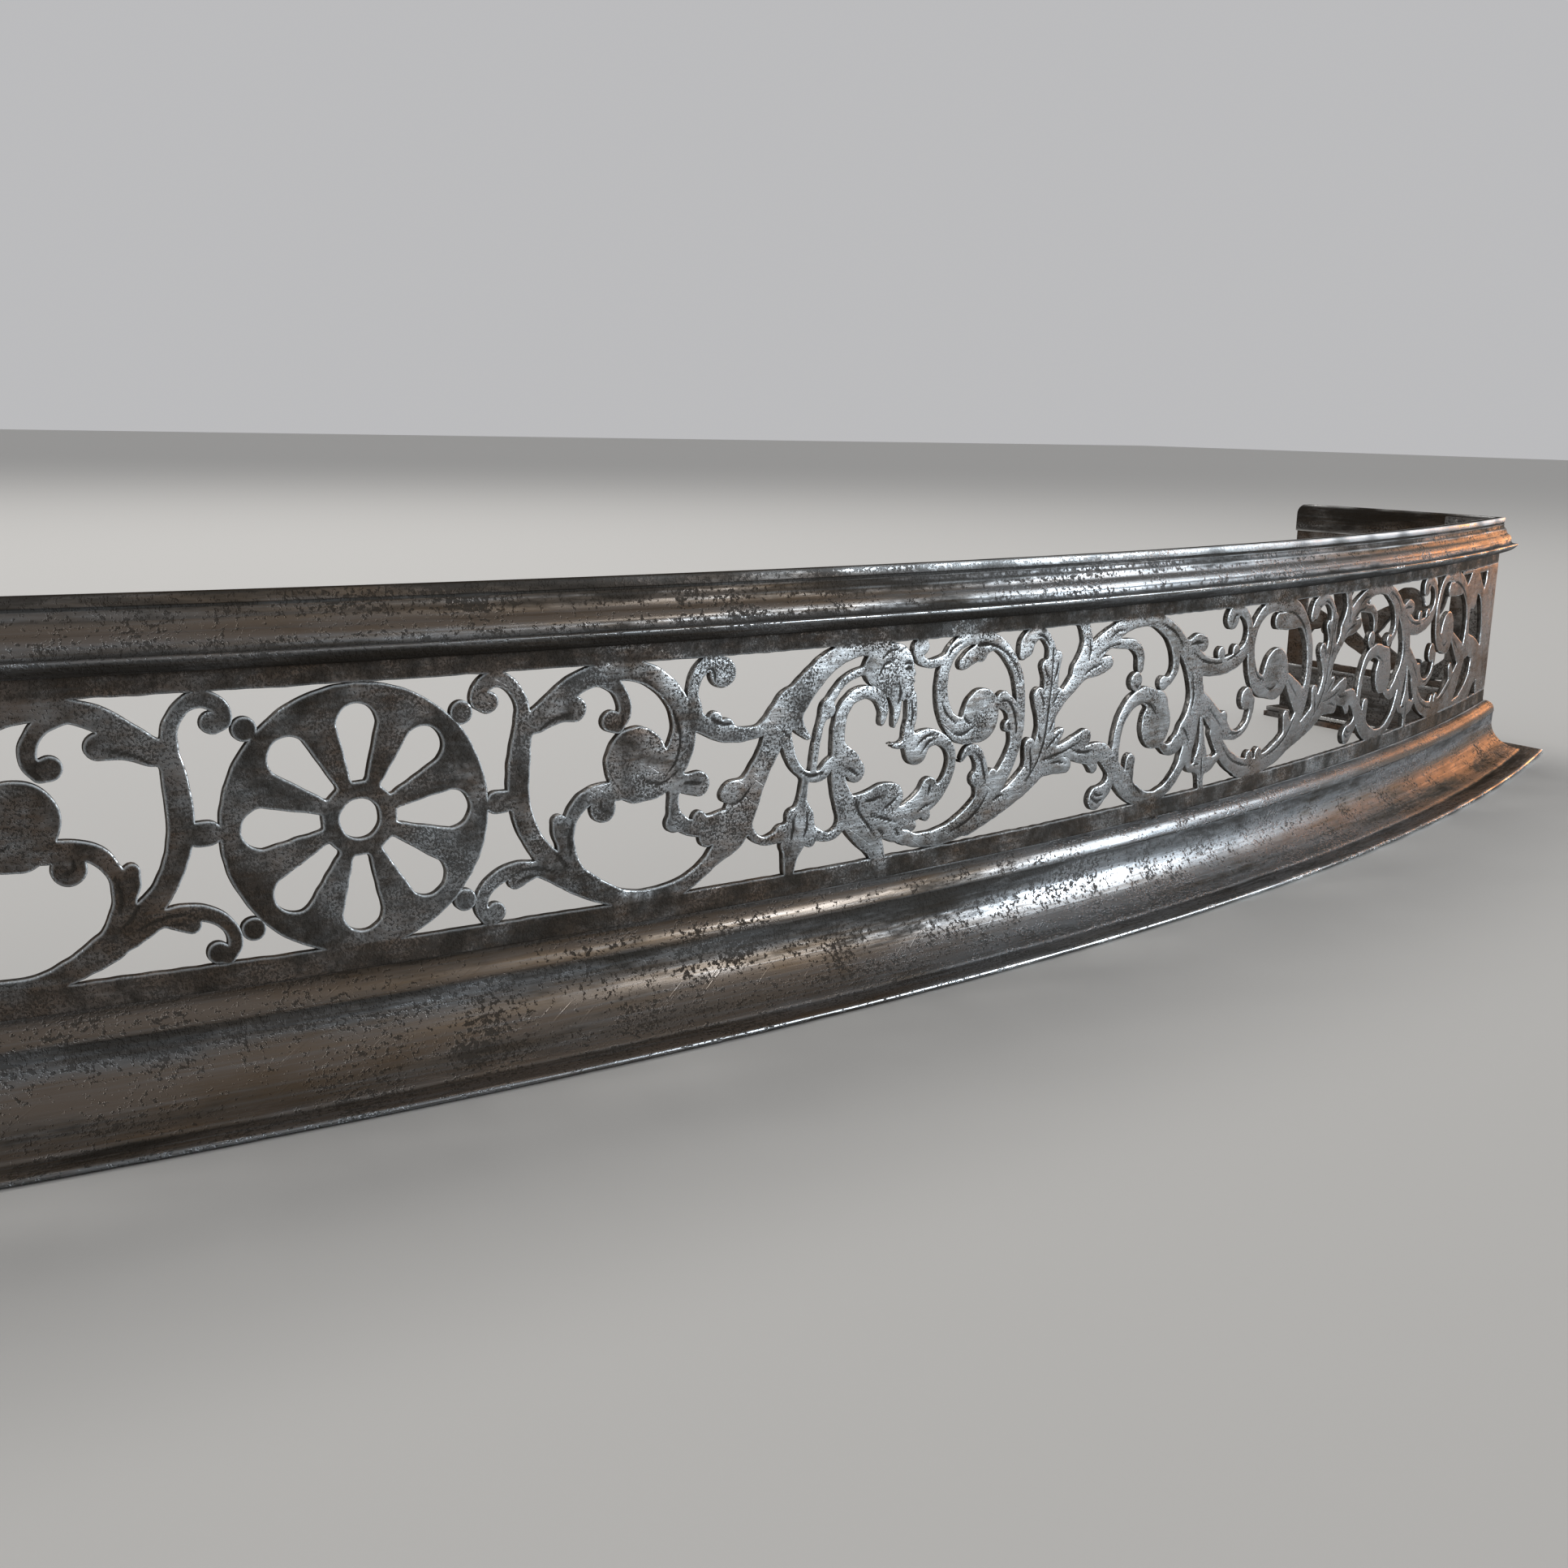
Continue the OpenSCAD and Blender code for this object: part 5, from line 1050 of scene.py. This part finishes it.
def sweepSection(name, runs, lift, path, length, seed, look):
    # stations along the path times points round the section, with shallow dents pushed along the normal
    p, stainAndShade = np.split(drawSection(runs, lift, look), 2, axis=1)
    worn, normal, s = sectionMarks(p, look)
    stations = np.linspace(-1, 1, int(length / mm / look["stationStep"]) + 1)
    run = stations * length / 2
    x, n, m = run[:, None] / mm, len(stations), len(p)
    seen = np.clip(p[:, 0] - 0.2, 0, 1)
    dent = unevenness(x, s[None, :], seed, *waves["dents"]) * look["dent"]
    loss = np.clip(unevenness(x, 0.3 * s[None, :], seed + 1, *waves["losses"]) - 0.3, 0, 2)
    loss = loss * look["edgeLoss"] * worn
    push = ((dent - look["sunk"] - loss) * seen)[..., None] * normal[None]
    at = (p[None] + push) * mm
    points = path(stations[:, None], at[..., 0], at[..., 1]).reshape(-1, 3)

    # browner at the middle and the ends; the edges rubbed unevenly, with a painted highlight along them, both
    # least at the middle
    away = (run if name.startswith("front") else run + arcHalf + length / 2)[:, None]
    tone = look["tone"][0] + look["tone"][1] * np.cos(away / look["toneOver"] * math.pi) ** 2
    rubbed = look["rubbed"] + look["rubbedBy"] * unevenness(x, s[None, :], seed + 2, *waves["rubbing"])
    worn = worn * np.clip(rubbed, 0.2, 1.2) * (1 - look["calm"] * np.exp(-(away / look["calmOver"]) ** 2))
    brown = (stainAndShade[:, 0] + look["brownMore"]) * tone
    marks = {key: np.broadcast_to(np.clip(q, 0, 1), (n, m)).reshape(-1)
             for key, q in (("worn", worn), ("brown", brown), ("soot", stainAndShade[:, 1]))}
    along = np.broadcast_arrays(run[:, None], s[None, :] * mm, look["apart"] * seed)
    marks["along"] = np.stack(along, axis=-1).reshape(-1, 3)

    row, column = np.arange(n - 1)[:, None] * m, np.arange(m)[None, :]
    a, b = row + column, row + (column + 1) % m
    polys = [np.stack([a, b, b + m, a + m], axis=-1).reshape(-1, 4)]
    polys += [column[:, ::-1], column + (n - 1) * m]  # the two ends
    return meshPiece(name, points, polys, mouldingSteel, marks, look["sharpFrom"])


def bowPath(t, out, z):
    # an arc as far out from the bow's centre as the point stands, between the two mitres
    turn, r = t * arcEnd(out), bowRadius + out
    return np.stack([r * np.sin(turn), bowY - r * np.cos(turn), z], axis=-1)


def returnPath(side):
    # straight back from the mitre to the rear end, whose top corner is rounded on the rail
    r, top = mouldingLook["endRound"] * mm, (railZ + mouldingLook["railTop"]) * mm

    def path(t, out, z):
        y0 = mitreY(out) + plan["mitreGap"]
        short = r - np.sqrt(r * r - np.clip(z - top + r, 0, r) ** 2)
        y = y0 + (cornerY + plan["returnLength"] - short - y0) * (t + 1) / 2
        return np.stack([side * (half + out), y, z + 0 * y], axis=-1)
    return path


for sectionName, runs, lift, cadName in (("TopRail", railSection, railZ, "top_rail"),
                                         ("BaseMoulding", baseSection, 0, "base_moulding")):
    routes = [("front", bowPath, 2 * arcHalf, seeds["frontMoulding"])]
    routes += [(name, returnPath(side), plan["returnLength"], seeds["sideMoulding"] + side)
               for side, name in ((-1, "left"), (1, "right"))]
    for name, path, length, seed in routes:
        piece = sweepSection(name + sectionName, runs, lift, path, length, seed, mouldingLook)
        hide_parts(name + "_" + cadName)
print("fender: mouldings drawn")

for name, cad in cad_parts.items():  # foot plates, brackets and rivets keep their CAD shapes
    if "foot_plate" in name or "bracket" in name or "rivets" in name:
        cad.data.materials.clear()
        cad.data.materials.append(blackIron)

# the studio: pale floor, soft lamps, pale surroundings
studio = {
    "floor": (0.6, 0.592, 0.578, 1), "floorHalf": 12, "floorRough": 0.7, "around": (0.5, 0.5, 0.51, 1),
    "fill": 0.45,
    "lamps": [
        {"name": "windowSoft", "place": (2.45, -1.35, 1.1), "aim": (0.25, -0.1, 1.1), "size": (1.4, 1.3),
         "power": 36, "colour": (0.84, 0.92, 1.0), "onFloor": False},
        {"name": "lowSoft", "place": (1.3, -1.14, 0.3), "aim": (0.25, -0.1, 0.1), "size": (0.9, 0.58),
         "power": 38, "colour": (0.74, 0.87, 1.0), "onFloor": False},
        {"name": "doorSoft", "place": (-2.4, 0.55, 0.75), "aim": (0.3, -0.05, 0.5), "size": (0.9, 0.8),
         "power": 14, "colour": (1.0, 0.98, 0.95), "onFloor": False},
        {"name": "backSoft", "place": (0.5, 2.0, 2.8), "aim": (0.0, 0.0, 0.06), "size": (2.2, 1.4),
         "power": 52, "colour": (1.0, 0.98, 0.95), "onFloor": True},
        {"name": "warmSide", "place": (1.7, 0.22, 0.2), "aim": (0.66, 0.0, 0.1), "size": (0.5, 0.3),
         "power": 4, "colour": (1.0, 0.4, 0.12), "onFloor": False}]}


def makeSurroundings(s):
    # white light on everything, the pale colour where the camera or a mirror looks at the world
    world = bpy.data.worlds.new("paleRoom")
    bpy.context.scene.world = world
    world.use_nodes = True
    tree = world.node_tree
    light = tree.nodes["Background"]
    wire(tree, ((1, 1, 1, 1), light.inputs[0]), (s["fill"], light.inputs[1]))
    seen = node(tree, "Background", {"Color": s["around"], "Strength": 1.0})
    ray = node(tree, "LightPath")
    shown = mathNode(tree, "MAXIMUM", ray.outputs["Is Camera Ray"], ray.outputs["Is Glossy Ray"])
    shown = mathNode(tree, "MAXIMUM", shown, ray.outputs["Is Transmission Ray"])
    both = node(tree, "MixShader")
    wire(tree, (shown, both.inputs[0]), (light.outputs[0], both.inputs[1]), (seen.outputs[0], both.inputs[2]),
         (both.outputs[0], tree.nodes["World Output"].inputs[0]))


def makeFloor(s):
    # one wide square at the fender's feet
    me = bpy.data.meshes.new("paleFloor")
    far = s["floorHalf"]
    me.from_pydata([(-far, -far, 0), (far, -far, 0), (far, far, 0), (-far, far, 0)], [], [(0, 1, 2, 3)])
    floor = bpy.data.objects.new("paleFloor", me)
    bpy.context.scene.collection.objects.link(floor)
    mat, tree, shader = startMaterial("paleFloor")
    wire(tree, (s["floor"], shader.inputs["Base Color"]), (s["floorRough"], shader.inputs["Roughness"]))
    me.materials.append(mat)
    return floor


def makeLamps(lamps, floor):
    # rectangles turned to their aims; the side lamps leave out the floor, or they'd burn patches into it
    floorOnly = bpy.data.collections.new("floorOnly")
    floorOnly.objects.link(floor)
    floorOnly.collection_objects[0].light_linking.link_state = "EXCLUDE"
    for lamp in lamps:
        data = bpy.data.lights.new(lamp["name"], "AREA")
        data.shape, (data.size, data.size_y) = "RECTANGLE", lamp["size"]
        data.energy, data.color = lamp["power"], lamp["colour"]
        obj = bpy.data.objects.new(lamp["name"], data)
        obj.location = lamp["place"]
        aim = Vector(lamp["aim"]) - Vector(lamp["place"])
        obj.rotation_euler = aim.to_track_quat("-Z", "Y").to_euler()
        obj.visible_camera = False
        if not lamp["onFloor"]:
            obj.light_linking.receiver_collection = floorOnly
        bpy.context.scene.collection.objects.link(obj)


makeSurroundings(studio)
makeLamps(studio["lamps"], makeFloor(studio))
bpy.context.scene.view_settings.view_transform = "Standard"
print("fender: studio lit")
